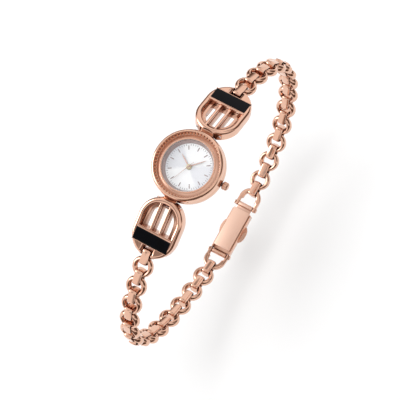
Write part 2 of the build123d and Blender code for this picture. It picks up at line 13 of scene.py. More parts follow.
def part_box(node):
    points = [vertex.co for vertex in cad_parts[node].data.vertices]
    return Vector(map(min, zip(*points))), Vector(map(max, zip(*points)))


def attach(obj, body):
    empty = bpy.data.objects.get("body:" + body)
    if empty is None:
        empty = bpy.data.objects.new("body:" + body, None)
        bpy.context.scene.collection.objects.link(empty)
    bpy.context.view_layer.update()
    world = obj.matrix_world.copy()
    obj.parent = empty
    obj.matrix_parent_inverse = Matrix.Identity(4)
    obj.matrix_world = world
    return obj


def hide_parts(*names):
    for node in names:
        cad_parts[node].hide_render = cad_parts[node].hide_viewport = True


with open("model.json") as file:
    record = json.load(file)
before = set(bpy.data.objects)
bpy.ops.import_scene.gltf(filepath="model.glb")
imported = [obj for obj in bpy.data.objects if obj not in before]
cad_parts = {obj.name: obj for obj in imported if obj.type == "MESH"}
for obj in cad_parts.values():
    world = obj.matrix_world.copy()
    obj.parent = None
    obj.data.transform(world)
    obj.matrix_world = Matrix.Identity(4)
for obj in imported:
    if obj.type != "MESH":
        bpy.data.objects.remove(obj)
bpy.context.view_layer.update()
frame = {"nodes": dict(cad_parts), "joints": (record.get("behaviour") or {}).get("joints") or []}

log = logging.getLogger("bracelet_watch")

Point = tuple[float, float]
Profile = list[Point]
Corners = Sequence[tuple[float, float, float]]
Colour = tuple[float, float, float]
Socket = bpy.types.NodeSocket

MM = 0.001
PER_METRE = 1000.0
CREASE = 34.0
FACET_CREASE = 20.0
AROUND = 160
AROUND_DISC = 128
# A quarter turn about x, and the turn that lays a bar's length along x.
QUARTER_TURN = Matrix.Rotation(math.radians(90), 4, "X")
LAID_ALONG_X = Matrix(((0, 0, 1), (1, 0, 0), (0, 1, 0))).to_4x4()


class Side(Enum):
    """The two ends of the bracelet, with the way each points along the six o'clock axis."""

    TWELVE = ("12h", -1)
    SIX = ("6h", 1)

    @property
    def label(self) -> str:
        """Ending of the names of this side's nodes and bodies."""
        return self.value[0]

    @property
    def sign(self) -> int:
        """Plus one towards six o'clock, minus one towards twelve."""
        return self.value[1]


class Grain(Enum):
    """How the fine lines of a brushed finish run over a piece."""

    NONE = "none"
    ROUND = "round"
    ALONG_X = "along_x"


class Slot(Enum):
    """The material slots of the record."""

    GOLD = "rose_gold_polished"
    HANDS = "rose_gold_hands"
    ENAMEL = "black_enamel"
    GLASS = "clear_glass"
    DIAL = "silver_dial"
    SEAL = "white_seal"
    MOVEMENT = "movement_metal"
    PLASTIC = "white_plastic"
    BATTERY = "battery_steel"
    COPPER = "copper_winding"
    BOARD = "green_board"
    FITTINGS = "steel_fittings"
    BACK = "steel_back"


def joint(name: str) -> dict:
    """The record's row of one joint."""
    return next(row for row in frame["joints"] if row["name"] == name)


def pivot(name: str) -> Vector:
    """Where a hinge turns, in metres."""
    return Vector(joint(name)["pos_m"])


def middle(node: str) -> Vector:
    """Centre of a node's box, in metres."""
    low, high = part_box(node)
    return (low + high) / 2


def place_of(origin: Vector, x_axis: Vector, y_axis: Vector) -> Matrix:
    """Place of a piece that is drawn in millimetres.

    Args:
        origin: Where the piece's origin goes, in metres.
        x_axis: Direction of the piece's x axis.
        y_axis: Rough direction of its y axis, squared up against x.

    Returns:
        The matrix from the piece's millimetres to the frame's metres.
    """
    x = x_axis.normalized()
    z = x.cross(y_axis).normalized()
    turn = Matrix((x, z.cross(x), z)).transposed().to_4x4()
    return Matrix.Translation(origin) @ turn @ Matrix.Scale(MM, 4)


THREE = Vector(joint("crown_pull")["axis"]).normalized()
OUT = -Vector(joint("seconds_hand_turn")["axis"]).normalized()
SIX = (pivot("end_piece_6h_hinge") - pivot("end_piece_12h_hinge")).normalized()


@dataclass(frozen=True)
class WatchFrame:
    """The head's own frame, from the centre of the bezel's rim."""

    dial_depth: float = 2.8

    def rim_centre(self) -> Vector:
        """Centre of the bezel's rim, in metres."""
        return pivot("seconds_hand_turn") + OUT * self.dial_depth * MM

    def head(self) -> Matrix:
        """Place of the head: x to six o'clock, y to three o'clock, z out of the dial."""
        return place_of(self.rim_centre(), SIX, THREE)

    def point(self, six: float, out: float, three: float) -> Vector:
        """A point from the rim's centre in millimetres along the three axes, in metres."""
        return self.rim_centre() + (SIX * six + OUT * out + THREE * three) * MM


WATCH = WatchFrame()


# Finishes


def blank(name: str) -> bpy.types.Material:
    """A new material with nodes."""
    material = bpy.data.materials.new(name)
    material.use_nodes = True
    return material


class Nodes:
    """A node tree while it is being built; every value is a socket or a constant."""

    def __init__(self, tree: bpy.types.NodeTree, output: str = "ShaderNodeOutputMaterial") -> None:
        """Clears the tree and gives it its output."""
        self.tree = tree
        self.tree.nodes.clear()
        self.output = self.add(output)

    def feed(self, value: object, socket: Socket) -> None:
        """Links a socket to a value that is one, or sets a constant on it."""
        if isinstance(value, Socket):
            self.tree.links.new(value, socket)
        else:
            socket.default_value = value

    def add(self, kind: str, feeds: dict | None = None, **settings: object) -> bpy.types.Node:
        """Adds a node.

        Args:
            kind: Blender's name of the node type.
            feeds: Values of its inputs, by their numbers or names.
            **settings: Settings of the node.

        Returns:
            The new node.
        """
        node = self.tree.nodes.new(kind)
        for key, value in settings.items():
            setattr(node, key, value)
        for key, value in (feeds or {}).items():
            self.feed(value, node.inputs[key])
        return node

    def math(self, operation: str, first: object, second: object = 0.0) -> Socket:
        """A sum of two values."""
        return self.add("ShaderNodeMath", {0: first, 1: second}, operation=operation).outputs[0]

    def ramp(self, source: Socket, *stops: tuple[float, Colour]) -> Socket:
        """A colour ramp between two stops.

        Args:
            source: The value.
            *stops: Place and colour of the two stops.

        Returns:
            The colour's socket.
        """
        node = self.add("ShaderNodeValToRGB", {"Fac": source})
        for element, (place, colour) in zip(node.color_ramp.elements, stops):
            element.position = place
            element.color = (*colour, 1.0)
        return node.outputs["Color"]

    def mix(self, share: object, *pair: object) -> Socket:
        """A mix of two colours by the share of the second."""
        first, second = (colour if isinstance(colour, Socket) else (*colour, 1.0) for colour in pair)
        return self.add("ShaderNodeMix", {0: share, 6: first, 7: second}, data_type="RGBA").outputs[2]

    def place(self, unit: float = 1.0) -> Socket:
        """Position on the piece in millimetres, from the millimetres in one unit of its mesh."""
        where = self.add("ShaderNodeTexCoord").outputs["Object"]
        return self.add("ShaderNodeVectorMath", {0: where, "Scale": unit}, operation="SCALE").outputs[0]

    def split(self, where: Socket) -> Sequence[Socket]:
        """The three coordinates of a place."""
        return self.add("ShaderNodeSeparateXYZ", {0: where}).outputs

    def noise(self, where: Socket, scale: float, detail: float = 3.0) -> Socket:
        """Noise over a place, from 0 to 1, with so many cells per millimetre and octaves."""
        feeds = {"Vector": where, "Scale": scale, "Detail": detail}
        return self.add("ShaderNodeTexNoise", feeds).outputs["Fac"]

    def rays(self, *kinds: str) -> Socket:
        """One where a ray is of any of the kinds, otherwise zero.

        Args:
            *kinds: Names of the light path's outputs.

        Returns:
            The value's socket.
        """
        path = self.add("ShaderNodeLightPath")
        share = path.outputs[kinds[0]]
        for kind in kinds[1:]:
            share = self.math("MAXIMUM", share, path.outputs[kind])
        return share

    def background(self, level: object, dusk: Colour = (0.0, 0.0, 0.0)) -> Socket:
        """A background of a grey level over a dim colour."""
        shares = {at: self.math("ADD", level, dusk[at]) for at in range(3)}
        colour = self.add("ShaderNodeCombineColor", shares)
        return self.add("ShaderNodeBackground", {"Color": colour.outputs[0]}).outputs[0]

    def blend(self, share: Socket, first: Socket, second: Socket) -> Socket:
        """A mix of two shaders by the share of the second."""
        return self.add("ShaderNodeMixShader", {0: share, 1: first, 2: second}).outputs[0]

    def shader(self, **values: object) -> bpy.types.Node:
        """The principled shader on the output, its sockets named with underscores for spaces."""
        feeds = {key.replace("_", " "): value for key, value in values.items()}
        node = self.add("ShaderNodeBsdfPrincipled", feeds)
        self.feed(node.outputs[0], self.output.inputs["Surface"])
        return node

    def bump(self, shader: bpy.types.Node, height: Socket, strength: float, depth: float) -> None:
        """Puts fine relief of a depth in metres on a shader."""
        feeds = {"Height": height, "Strength": strength, "Distance": depth}
        self.feed(self.add("ShaderNodeBump", feeds).outputs[0], shader.inputs["Normal"])


@dataclass(frozen=True)
class Finish:
    """A finish: the name of its material and the slot that it fills."""

    name: str
    slot: Slot

    def material(self) -> bpy.types.Material:
        """The material, made on its first use."""
        if self.name not in bpy.data.materials:
            self.paint(Nodes(blank(self.name).node_tree))
        return bpy.data.materials[self.name]

    def paint(self, nodes: Nodes) -> None:
        """Adds the finish's own nodes."""
        raise NotImplementedError


DARK = (0.0, 0.0, 0.0)
WHITE = (1.0, 1.0, 1.0)


@dataclass(frozen=True)
class Metal(Finish):
    """A metal surface with its colour variation, wear on the edges, grain and hairlines, and painted shade in
    its crevices.
    """

    colour: Colour
    tarnish: Colour
    roughness: float
    spread: float = 0.04
    grain: Grain = Grain.NONE
    lines_per_mm: float = 9.0
    line_stretch: float = 0.25
    line_turns: float = 1.5
    depth: float = 2e-6
    unit: float = 1.0
    cloud_scale: float = 0.35
    cloud_share: float = 0.35
    wear_gain: float = 1.06
    # Painted shade: reach in metres, start and tint of the ambient-occlusion darkening in crevices.
    painted_shade_reach: float = 0.0014
    painted_shade_start: float = 0.75
    painted_shade_tint: Colour = (0.26, 0.13, 0.08)

    def lines(self, nodes: Nodes, where: Socket) -> Socket:
        """Value of the fine lines that the grain draws.

        Args:
            nodes: The tree.
            where: Position in millimetres.

        Returns:
            The value's socket.
        """
        if self.grain is Grain.ROUND:
            x, y, z = nodes.split(where)
            square = nodes.math("ADD", nodes.math("POWER", x, 2.0), nodes.math("POWER", y, 2.0))
            radius = nodes.math("MULTIPLY", nodes.math("SQRT", square), self.lines_per_mm)
            turn = nodes.math("MULTIPLY", nodes.math("ARCTAN2", y, x), self.line_turns)
            return nodes.noise(nodes.add("ShaderNodeCombineXYZ", {0: radius, 1: turn, 2: z}).outputs[0], 1.0)
        if self.grain is Grain.NONE:
            return nodes.noise(where, 2.5, 5.0)
        feeds = {"Vector": where, "Scale": (self.line_stretch, self.lines_per_mm, self.lines_per_mm)}
        return nodes.noise(nodes.add("ShaderNodeMapping", feeds).outputs[0], 1.0, 5.0)

    def shade(self, nodes: Nodes, where: Socket) -> Socket:
        """The colour: clouded with tarnish, brighter on worn edges, and darkened by painted shade in the
        crevices.

        Args:
            nodes: The tree.
            where: Position in millimetres.

        Returns:
            The colour's socket.
        """
        edges = nodes.add("ShaderNodeNewGeometry").outputs["Pointiness"]
        worn = nodes.ramp(edges, (0.5, DARK), (0.6, WHITE))
        cloud = nodes.math("MULTIPLY", nodes.noise(where, self.cloud_scale, 2.0), self.cloud_share)
        base = nodes.mix(cloud, self.colour, self.tarnish)
        bright = tuple(min(1.0, share * self.wear_gain) for share in self.colour)
        # Painted shade: ambient occlusion darkens the colour towards a dark brown-red in crevices, gaps and
        # between parts.
        sky = nodes.add("ShaderNodeAmbientOcclusion", {"Distance": self.painted_shade_reach}, samples=6)
        painted_shade_share = nodes.ramp(sky.outputs["AO"], (0.15, WHITE), (self.painted_shade_start, DARK))
        dark = tuple(share * tint for share, tint in zip(self.colour, self.painted_shade_tint))
        return nodes.mix(painted_shade_share, nodes.mix(worn, base, bright), dark)

    def paint(self, nodes: Nodes) -> None:
        """Adds the metal's colour, roughness and relief."""
        where = nodes.place(self.unit)
        lines = self.lines(nodes, where)
        rise = nodes.math("MULTIPLY", lines, 2 * self.spread)
        rough = nodes.math("ADD", self.roughness - self.spread, rise)
        shader = nodes.shader(Metallic=1.0, Base_Color=self.shade(nodes, where), Roughness=rough)
        nodes.bump(shader, lines, 0.25 if self.grain is Grain.NONE else 0.6, self.depth)


@dataclass(frozen=True)
class Enamel(Finish):
    """Glossy enamel or moulded plastic with a slightly uneven surface."""

    colour: Colour
    shade: Colour
    roughness: float = 0.08
    gloss: float = 0.5
    ripple: float = 0.5
    unit: float = 1.0
    speckles: float = 6.0
    speckle_share: float = 0.6

    def paint(self, nodes: Nodes) -> None:
        """Adds the enamel's colour, roughness and relief."""
        where = nodes.place(self.unit)
        cloud = nodes.noise(where, self.ripple, 2.0)
        colour = nodes.mix(cloud, self.colour, self.shade)
        speckle = nodes.noise(where, self.speckles)
        rise = nodes.math("MULTIPLY", speckle, self.roughness * self.speckle_share)
        rough = nodes.math("ADD", self.roughness, rise)
        shader = nodes.shader(Metallic=0.0, Specular_IOR_Level=self.gloss, Base_Color=colour, Roughness=rough)
        nodes.bump(shader, cloud, 0.2, 3e-5)


@dataclass(frozen=True)
class DialWithPaintedSheen(Finish):
    """A sunray dial: two pale blue fans of painted sheen either side of the centre, where the dial would
    reflect the light, white between them.
    """

    name: str = "dial_painted_sheen"
    slot: Slot = Slot.DIAL
    white: Colour = (0.78, 0.775, 0.775)
    blue: Colour = (0.6, 0.6, 0.63)
    # Painted sheen: the fans' turn in radians and their share of the blue.
    sheen_turn: float = 1.45
    sheen_share: float = 0.8
    rays: float = 36.0
    ray_share: float = 0.5
    shimmer_scale: float = 0.9
    shimmer_share: float = 0.7

    def paint(self, nodes: Nodes) -> None:
        """Adds the dial's painted-sheen fans, its rays and relief."""
        where = nodes.place()
        x, y, _ = nodes.split(where)
        # Painted sheen: the pale blue fans follow the turn about the centre, as a sunray dial's reflection
        # does, softened by noise.
        turn = nodes.math("ARCTAN2", y, x)
        wave = nodes.math("COSINE", nodes.math("MULTIPLY", nodes.math("SUBTRACT", turn, self.sheen_turn), 2.0))
        shimmer = nodes.math("SUBTRACT", nodes.noise(where, self.shimmer_scale, 4.0), 0.5)
        soft = nodes.math("ADD", wave, nodes.math("MULTIPLY", shimmer, self.shimmer_share))
        sheen_fan = nodes.ramp(soft, (0.05, DARK), (0.5, WHITE))
        feeds = {"Scale": self.rays, "W": turn}
        ray = nodes.add("ShaderNodeTexNoise", feeds, noise_dimensions="1D").outputs["Fac"]
        streak = nodes.math("MULTIPLY", nodes.math("SUBTRACT", ray, 0.5), self.ray_share)
        share = nodes.math("ADD", nodes.math("MULTIPLY", sheen_fan, self.sheen_share), streak)
        colour = nodes.mix(nodes.add("ShaderNodeClamp", {0: share}).outputs[0], self.white, self.blue)
        gloss = {"Coat_Weight": 0.3, "Coat_Roughness": 0.1, "Roughness": 0.32}
        nodes.bump(nodes.shader(Metallic=0.0, Base_Color=colour, **gloss), ray, 0.15, 4e-6)


@dataclass(frozen=True)
class Glass(Finish):
    """The crystal's clear glass, with the faintest unevenness."""

    name: str = "crystal_glass"
    slot: Slot = Slot.GLASS
    tint: Colour = (0.98, 0.99, 1.0)

    def paint(self, nodes: Nodes) -> None:
        """Adds the glass."""
        shader = nodes.shader(Roughness=0.0, IOR=1.5, Transmission_Weight=1.0, Base_Color=(*self.tint, 1.0))
        nodes.bump(shader, nodes.noise(nodes.place(), 0.4, 1.0), 0.05, 1e-6)


ROSE = (0.76, 0.48, 0.36)
ROSE_DEEP = (0.7, 0.41, 0.29)
# Every metal finish paints shade into its crevices through Metal.shade; BEZEL and SLOTTED change its reach.
POLISHED = Metal("rose_gold_mirror", Slot.GOLD, ROSE, ROSE_DEEP, 0.09)
BEZEL = Metal("rose_gold_bezel", Slot.GOLD, (0.79, 0.5, 0.375), ROSE_DEEP, 0.12, painted_shade_reach=0.0005)
# SLOTTED paints deeper shade inside the end pieces' windows and on the fins' sides.
SLOTTED = Metal(
    "rose_gold_slotted", Slot.GOLD, (0.78, 0.49, 0.37), ROSE_DEEP, 0.1,
    painted_shade_reach=0.002, painted_shade_start=0.85,
)
SATIN_ROUND = Metal(
    "rose_gold_satin_round", Slot.GOLD, (0.78, 0.5, 0.38), ROSE_DEEP, 0.3, 0.08, Grain.ROUND, 14.0,
)
HAND_GOLD = Metal("rose_gold_thin_hands", Slot.HANDS, (0.72, 0.5, 0.43), (0.6, 0.38, 0.32), 0.2)
MARKER = Metal("rose_gold_markers", Slot.HANDS, (0.34, 0.22, 0.2), (0.26, 0.17, 0.16), 0.22)
REHAUT = Metal(
    "rehaut_satin", Slot.GOLD, (0.46, 0.34, 0.32), (0.34, 0.25, 0.24), 0.34, 0.06, Grain.ROUND, 10.0,
)
# Painted light: the clasp's satin plate is a paler rose gold than the rest, which paints in the brightness of
# its lit face; its grain and roughness are real.
CLASP_SATIN_PAINTED_LIGHT = Metal(
    "rose_gold_clasp_satin_painted_light", Slot.GOLD, (0.86, 0.6, 0.48), ROSE, 0.36, 0.08, Grain.ALONG_X, 10.0,
    unit=PER_METRE,
)
CLASP_POLISH = Metal("rose_gold_clasp_polish", Slot.GOLD, ROSE, ROSE_DEEP, 0.16, unit=PER_METRE)
STEEL_BACK = Metal(
    "steel_back_satin", Slot.BACK, (0.66, 0.66, 0.68), (0.55, 0.55, 0.57), 0.3, 0.08, Grain.ROUND, 10.0,
)
FITTING = Metal("steel_turned", Slot.FITTINGS, (0.62, 0.62, 0.64), (0.5, 0.5, 0.52), 0.25, unit=PER_METRE)
BRASS = Metal("movement_brass", Slot.MOVEMENT, (0.78, 0.68, 0.42), (0.6, 0.5, 0.3), 0.3, unit=PER_METRE)
CELL = Metal("battery_can", Slot.BATTERY, (0.7, 0.7, 0.72), (0.6, 0.6, 0.62), 0.22, unit=PER_METRE)
WINDING = Metal("coil_copper", Slot.COPPER, (0.72, 0.32, 0.16), (0.5, 0.2, 0.1), 0.3, unit=PER_METRE)
BLACK = Enamel("enamel_deep_black", Slot.ENAMEL, (0.001, 0.001, 0.001), (0.002, 0.003, 0.005), 0.06, 0.12)
PRINT = Enamel("dial_print", Slot.DIAL, (0.06, 0.05, 0.06), (0.1, 0.09, 0.1), 0.4)
SEAL = Enamel("seal_white", Slot.SEAL, (0.82, 0.82, 0.8), (0.74, 0.74, 0.72), 0.5, unit=PER_METRE)
HOLDER = Enamel("holder_white", Slot.PLASTIC, (0.8, 0.8, 0.78), (0.7, 0.7, 0.68), 0.4, unit=PER_METRE)
BOARD = Enamel("board_green", Slot.BOARD, (0.03, 0.2, 0.09), (0.02, 0.14, 0.06), 0.3, unit=PER_METRE)
# The dial's finish, which paints sheen into its colour.
DIAL_SHEEN = DialWithPaintedSheen()
CLEAR = Glass()


# Shapes


def filleted(corners: Corners, steps: int = 5) -> Profile:
    """A closed outline whose corners are rounded.

    Args:
        corners: Each corner's two coordinates and its radius, 0 for a sharp one.
        steps: Points on each rounded corner, less one.

    Returns:
        The outline's points.
    """
    outline: Profile = []
    for index, (x, y, radius) in enumerate(corners):
        if radius <= 0:
            outline.append((x, y))
            continue
        corner = Vector((x, y))
        before = Vector(corners[index - 1][:2]) - corner
        after = Vector(corners[(index + 1) % len(corners)][:2]) - corner
        half = before.angle(after) / 2
        reach = min(radius / math.tan(half), 0.49 * before.length, 0.49 * after.length)
        start = corner + before.normalized() * reach
        end = corner + after.normalized() * reach
        for step in range(steps + 1):
            share = step / steps
            point = start.lerp(corner, share).lerp(corner.lerp(end, share), share)
            outline.append((point.x, point.y))
    return outline


def filleted_run(points: Profile, radius: float) -> Profile:
    """An open line whose inner corners are rounded, its ends left where they are.

    Args:
        points: The corners.
        radius: Radius of the inner corners.

    Returns:
        The points.
    """
    last = len(points) - 1
    return filleted([(x, y, radius if 0 < at < last else 0.0) for at, (x, y) in enumerate(points)], 4)


def rectangle(low: Point, high: Point, rounding: float = 0.0, steps: int = 3) -> Profile:
    """A rectangle's outline.

    Args:
        low: Its lower left corner.
        high: Its upper right corner.
        rounding: Radius of its corners.
        steps: Points on each rounded corner, less one.

    Returns:
        The outline's points.
    """
    corners = (low, (high[0], low[1]), high, (low[0], high[1]))
    return filleted([(x, y, rounding) for x, y in corners], steps)


def arc(centre: Point, radius: float, start: float, end: float, steps: int = 24) -> Profile:
    """Points of an arc.

    Args:
        centre: Its centre.
        radius: Its radius.
        start: First angle in degrees.
        end: Last angle in degrees.
        steps: Points less one.

    Returns:
        The points from start to end.
    """
    angles = [math.radians(start + (end - start) * step / steps) for step in range(steps + 1)]
    return [(centre[0] + radius * math.cos(a), centre[1] + radius * math.sin(a)) for a in angles]


@dataclass
class Shell:
    """A mesh being built, in millimetres of its own frame."""

    points: list[Vector] = field(default_factory=list)
    faces: list[tuple[int, ...]] = field(default_factory=list)

    def loft(self, rings: Sequence[Sequence[Vector]], joined: bool = False) -> "Shell":
        """Adds a skin over closed rings of equal point counts.

        Args:
            rings: The rings in order.
            joined: Whether the last ring meets the first; otherwise both ends are closed off.

        Returns:
            This shell.
        """
        start = len(self.points)
        size = len(rings[0])
        for ring in rings:
            self.points.extend(ring)
        for index in range(len(rings) if joined else len(rings) - 1):
            here = start + index * size
            there = start + (index + 1) % len(rings) * size
            for step in range(size):
                after = (step + 1) % size
                self.faces.append((here + step, here + after, there + after, there + step))
        if not joined:
            last = start + (len(rings) - 1) * size
            self.faces += [tuple(range(first, first + size)) for first in (start, last)]
        return self

    def spin(self, profile: Profile | Callable[[float], Profile], steps: int = AROUND) -> "Shell":
        """Adds a closed profile of radii and heights turned about z.

        Args:
            profile: The profile, or a function that gives it at a turn in radians.
            steps: Copies around the turn.

        Returns:
            This shell.
        """
        rings = []
        for step in range(steps):
            turn = 2 * math.pi * step / steps
            outline = profile(turn) if callable(profile) else profile
            rings.append([Vector((r * math.cos(turn), r * math.sin(turn), z)) for r, z in outline])
        return self.loft(rings, joined=True)

    def slab(
        self, outline: Profile, bottom: float, top: float, rounding: float,
        holes: Sequence[Profile] = (), steps: int = 4,
    ) -> "Shell":
        """Adds a flat plate whose edges are rounded, with holes.

        Args:
            outline: Its outline.
            bottom: Height of its underside.
            top: Height of its upper side.
            rounding: Radius of its edges.
            holes: Outlines of the holes.
            steps: Steps on each rounded edge.

        Returns:
            This shell.
        """
        curve = bpy.data.curves.new("slab_outline", "CURVE")
        curve.dimensions = "2D"
        curve.fill_mode = "BOTH"
        curve.extrude = (top - bottom) / 2 - rounding
        curve.bevel_depth = rounding
        curve.bevel_resolution = steps
        curve.offset = -rounding
        for ring in (outline, *holes):
            spline = curve.splines.new("POLY")
            spline.points.add(len(ring) - 1)
            for point, (x, y) in zip(spline.points, ring):
                point.co = (x, y, 0.0, 1.0)
            spline.use_cyclic_u = True
        owner = bpy.data.objects.new("slab_outline", curve)
        mesh = bpy.data.meshes.new_from_object(owner)
        start = len(self.points)
        lift = Vector((0.0, 0.0, (top + bottom) / 2))
        self.points.extend(vertex.co + lift for vertex in mesh.vertices)
        self.faces.extend(tuple(start + index for index in face.vertices) for face in mesh.polygons)
        bpy.data.objects.remove(owner)
        bpy.data.curves.remove(curve)
        bpy.data.meshes.remove(mesh)
        return self

    def prism(self, outline: Profile, low: float, high: float, place: Matrix = Matrix.Identity(4)) -> "Shell":
        """Adds a closed outline drawn out along z.

        Args:
            outline: The outline.
            low: Height of one end.
            high: Height of the other end.
            place: Where it goes.

        Returns:
            This shell.
        """
        return self.loft([[place @ Vector((x, y, z)) for x, y in outline] for z in (low, high)])

    def placed(self, place: Matrix) -> "Shell":
        """A copy of this shell in another place."""
        return Shell([place @ point for point in self.points], list(self.faces))

    def plus(self, other: "Shell") -> "Shell":
        """Adds another shell to this one.

        Args:
            other: The other shell.

        Returns:
            This shell.
        """
        start = len(self.points)
        self.points.extend(other.points)
        self.faces.extend(tuple(start + index for index in face) for face in other.faces)
        return self

    def mesh(self, name: str, crease: float = CREASE) -> bpy.types.Mesh:
        """The finished mesh.

        Args:
            name: Its name.
            crease: Angle in degrees above which an edge stays sharp.

        Returns:
            The mesh.
        """
        mesh = bpy.data.meshes.new(name)
        mesh.from_pydata(self.points, [], self.faces)
        soften(mesh, crease)
        return mesh


def soften(mesh: bpy.types.Mesh, crease: float = CREASE, joint_size: float = 1e-4) -> None:
    """Joins doubled points, turns the faces outwards and marks the sharp edges.

    Args:
        mesh: The mesh.
        crease: Angle in degrees above which an edge stays sharp.
        joint_size: Distance within which points are one, in the mesh's own units.
    """
    made = bmesh.new()
    made.from_mesh(mesh)
    bmesh.ops.remove_doubles(made, verts=made.verts, dist=joint_size)
    bmesh.ops.recalc_face_normals(made, faces=made.faces)
    for face in made.faces:
        face.smooth = True
    for edge in made.edges:
        if len(edge.link_faces) == 2:
            edge.smooth = edge.calc_face_angle(0.0) < math.radians(crease)
    made.to_mesh(mesh)
    made.free()


def carved(mesh: bpy.types.Mesh, block: Shell) -> bpy.types.Mesh:
    """A mesh with a block cut out of it.

    Args:
        mesh: The mesh.
        block: The block.

    Returns:
        The new mesh.
    """
    owner = bpy.data.objects.new("carved", mesh)
    cutter = bpy.data.objects.new("cutter", block.mesh("cutter"))
    for piece in (owner, cutter):
        bpy.context.scene.collection.objects.link(piece)
    cut = owner.modifiers.new("cut", "BOOLEAN")
    cut.operation = "DIFFERENCE"
    cut.solver = "EXACT"
    cut.object = cutter
    depsgraph = bpy.context.evaluated_depsgraph_get()
    made = bpy.data.meshes.new_from_object(owner.evaluated_get(depsgraph))
    for piece in (owner, cutter):
        bpy.data.objects.remove(piece)
    soften(made)
    return made


def softened_copy(node: str, rounding: float, sharp_from: float = 40.0) -> bpy.types.Mesh:
    """A node's mesh with its edges rounded.

    Args:
        node: The node.
        rounding: Radius of the edges, in metres.
        sharp_from: Angle in degrees above which an edge is rounded.

    Returns:
        The new mesh, in metres.
    """
    mesh = frame["nodes"][node].data.copy()
    mesh.materials.clear()
    made = bmesh.new()
    made.from_mesh(mesh)
    bmesh.ops.remove_doubles(made, verts=made.verts, dist=1e-7)
    bmesh.ops.dissolve_limit(made, angle_limit=math.radians(0.5), verts=made.verts, edges=made.edges)
    limit = math.radians(sharp_from)
    sharp = [edge for edge in made.edges if len(edge.link_faces) == 2 and edge.calc_face_angle(0.0) > limit]
    rounded = {"offset": rounding, "segments": 3, "profile": 0.5, "affect": "EDGES", "clamp_overlap": True}
    bmesh.ops.bevel(made, geom=sharp, **rounded)
    made.to_mesh(mesh)
    made.free()
    soften(mesh, joint_size=1e-8)
    return mesh


def show(
    name: str, shape: Shell | bpy.types.Mesh, place: Matrix, finish: Finish, body: str,
    nodes: Sequence[str] = (), crease: float = CREASE,
) -> bpy.types.Object:
    """Puts a piece in the scene on its body.

    Args:
        name: Name of the piece.
        shape: Its shell, or its finished mesh.
        place: Its place.
        finish: Its finish.
        body: The body that it rides on.
        nodes: The nodes that it stands for.
        crease: Angle in degrees above which an edge of a shell stays sharp.

    Returns:
        The piece's object.
    """
    mesh = shape.mesh(name, crease) if isinstance(shape, Shell) else shape
    piece = bpy.data.objects.new(name, mesh)
    bpy.context.scene.collection.objects.link(piece)
    if not mesh.materials:
        mesh.materials.append(finish.material())
    piece.matrix_world = place
    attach(piece, body)
    if nodes:
        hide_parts(*nodes)
    log.info("piece %s on %s", name, body)
    return piece


def dress(finish: Finish, *nodes: str) -> None:
    """Gives CAD nodes that stay their finish.

    Args:
        finish: The finish.
        *nodes: The nodes.
    """
    for node in nodes:
        materials = frame["nodes"][node].data.materials
        materials.clear()
        materials.append(finish.material())


# Head


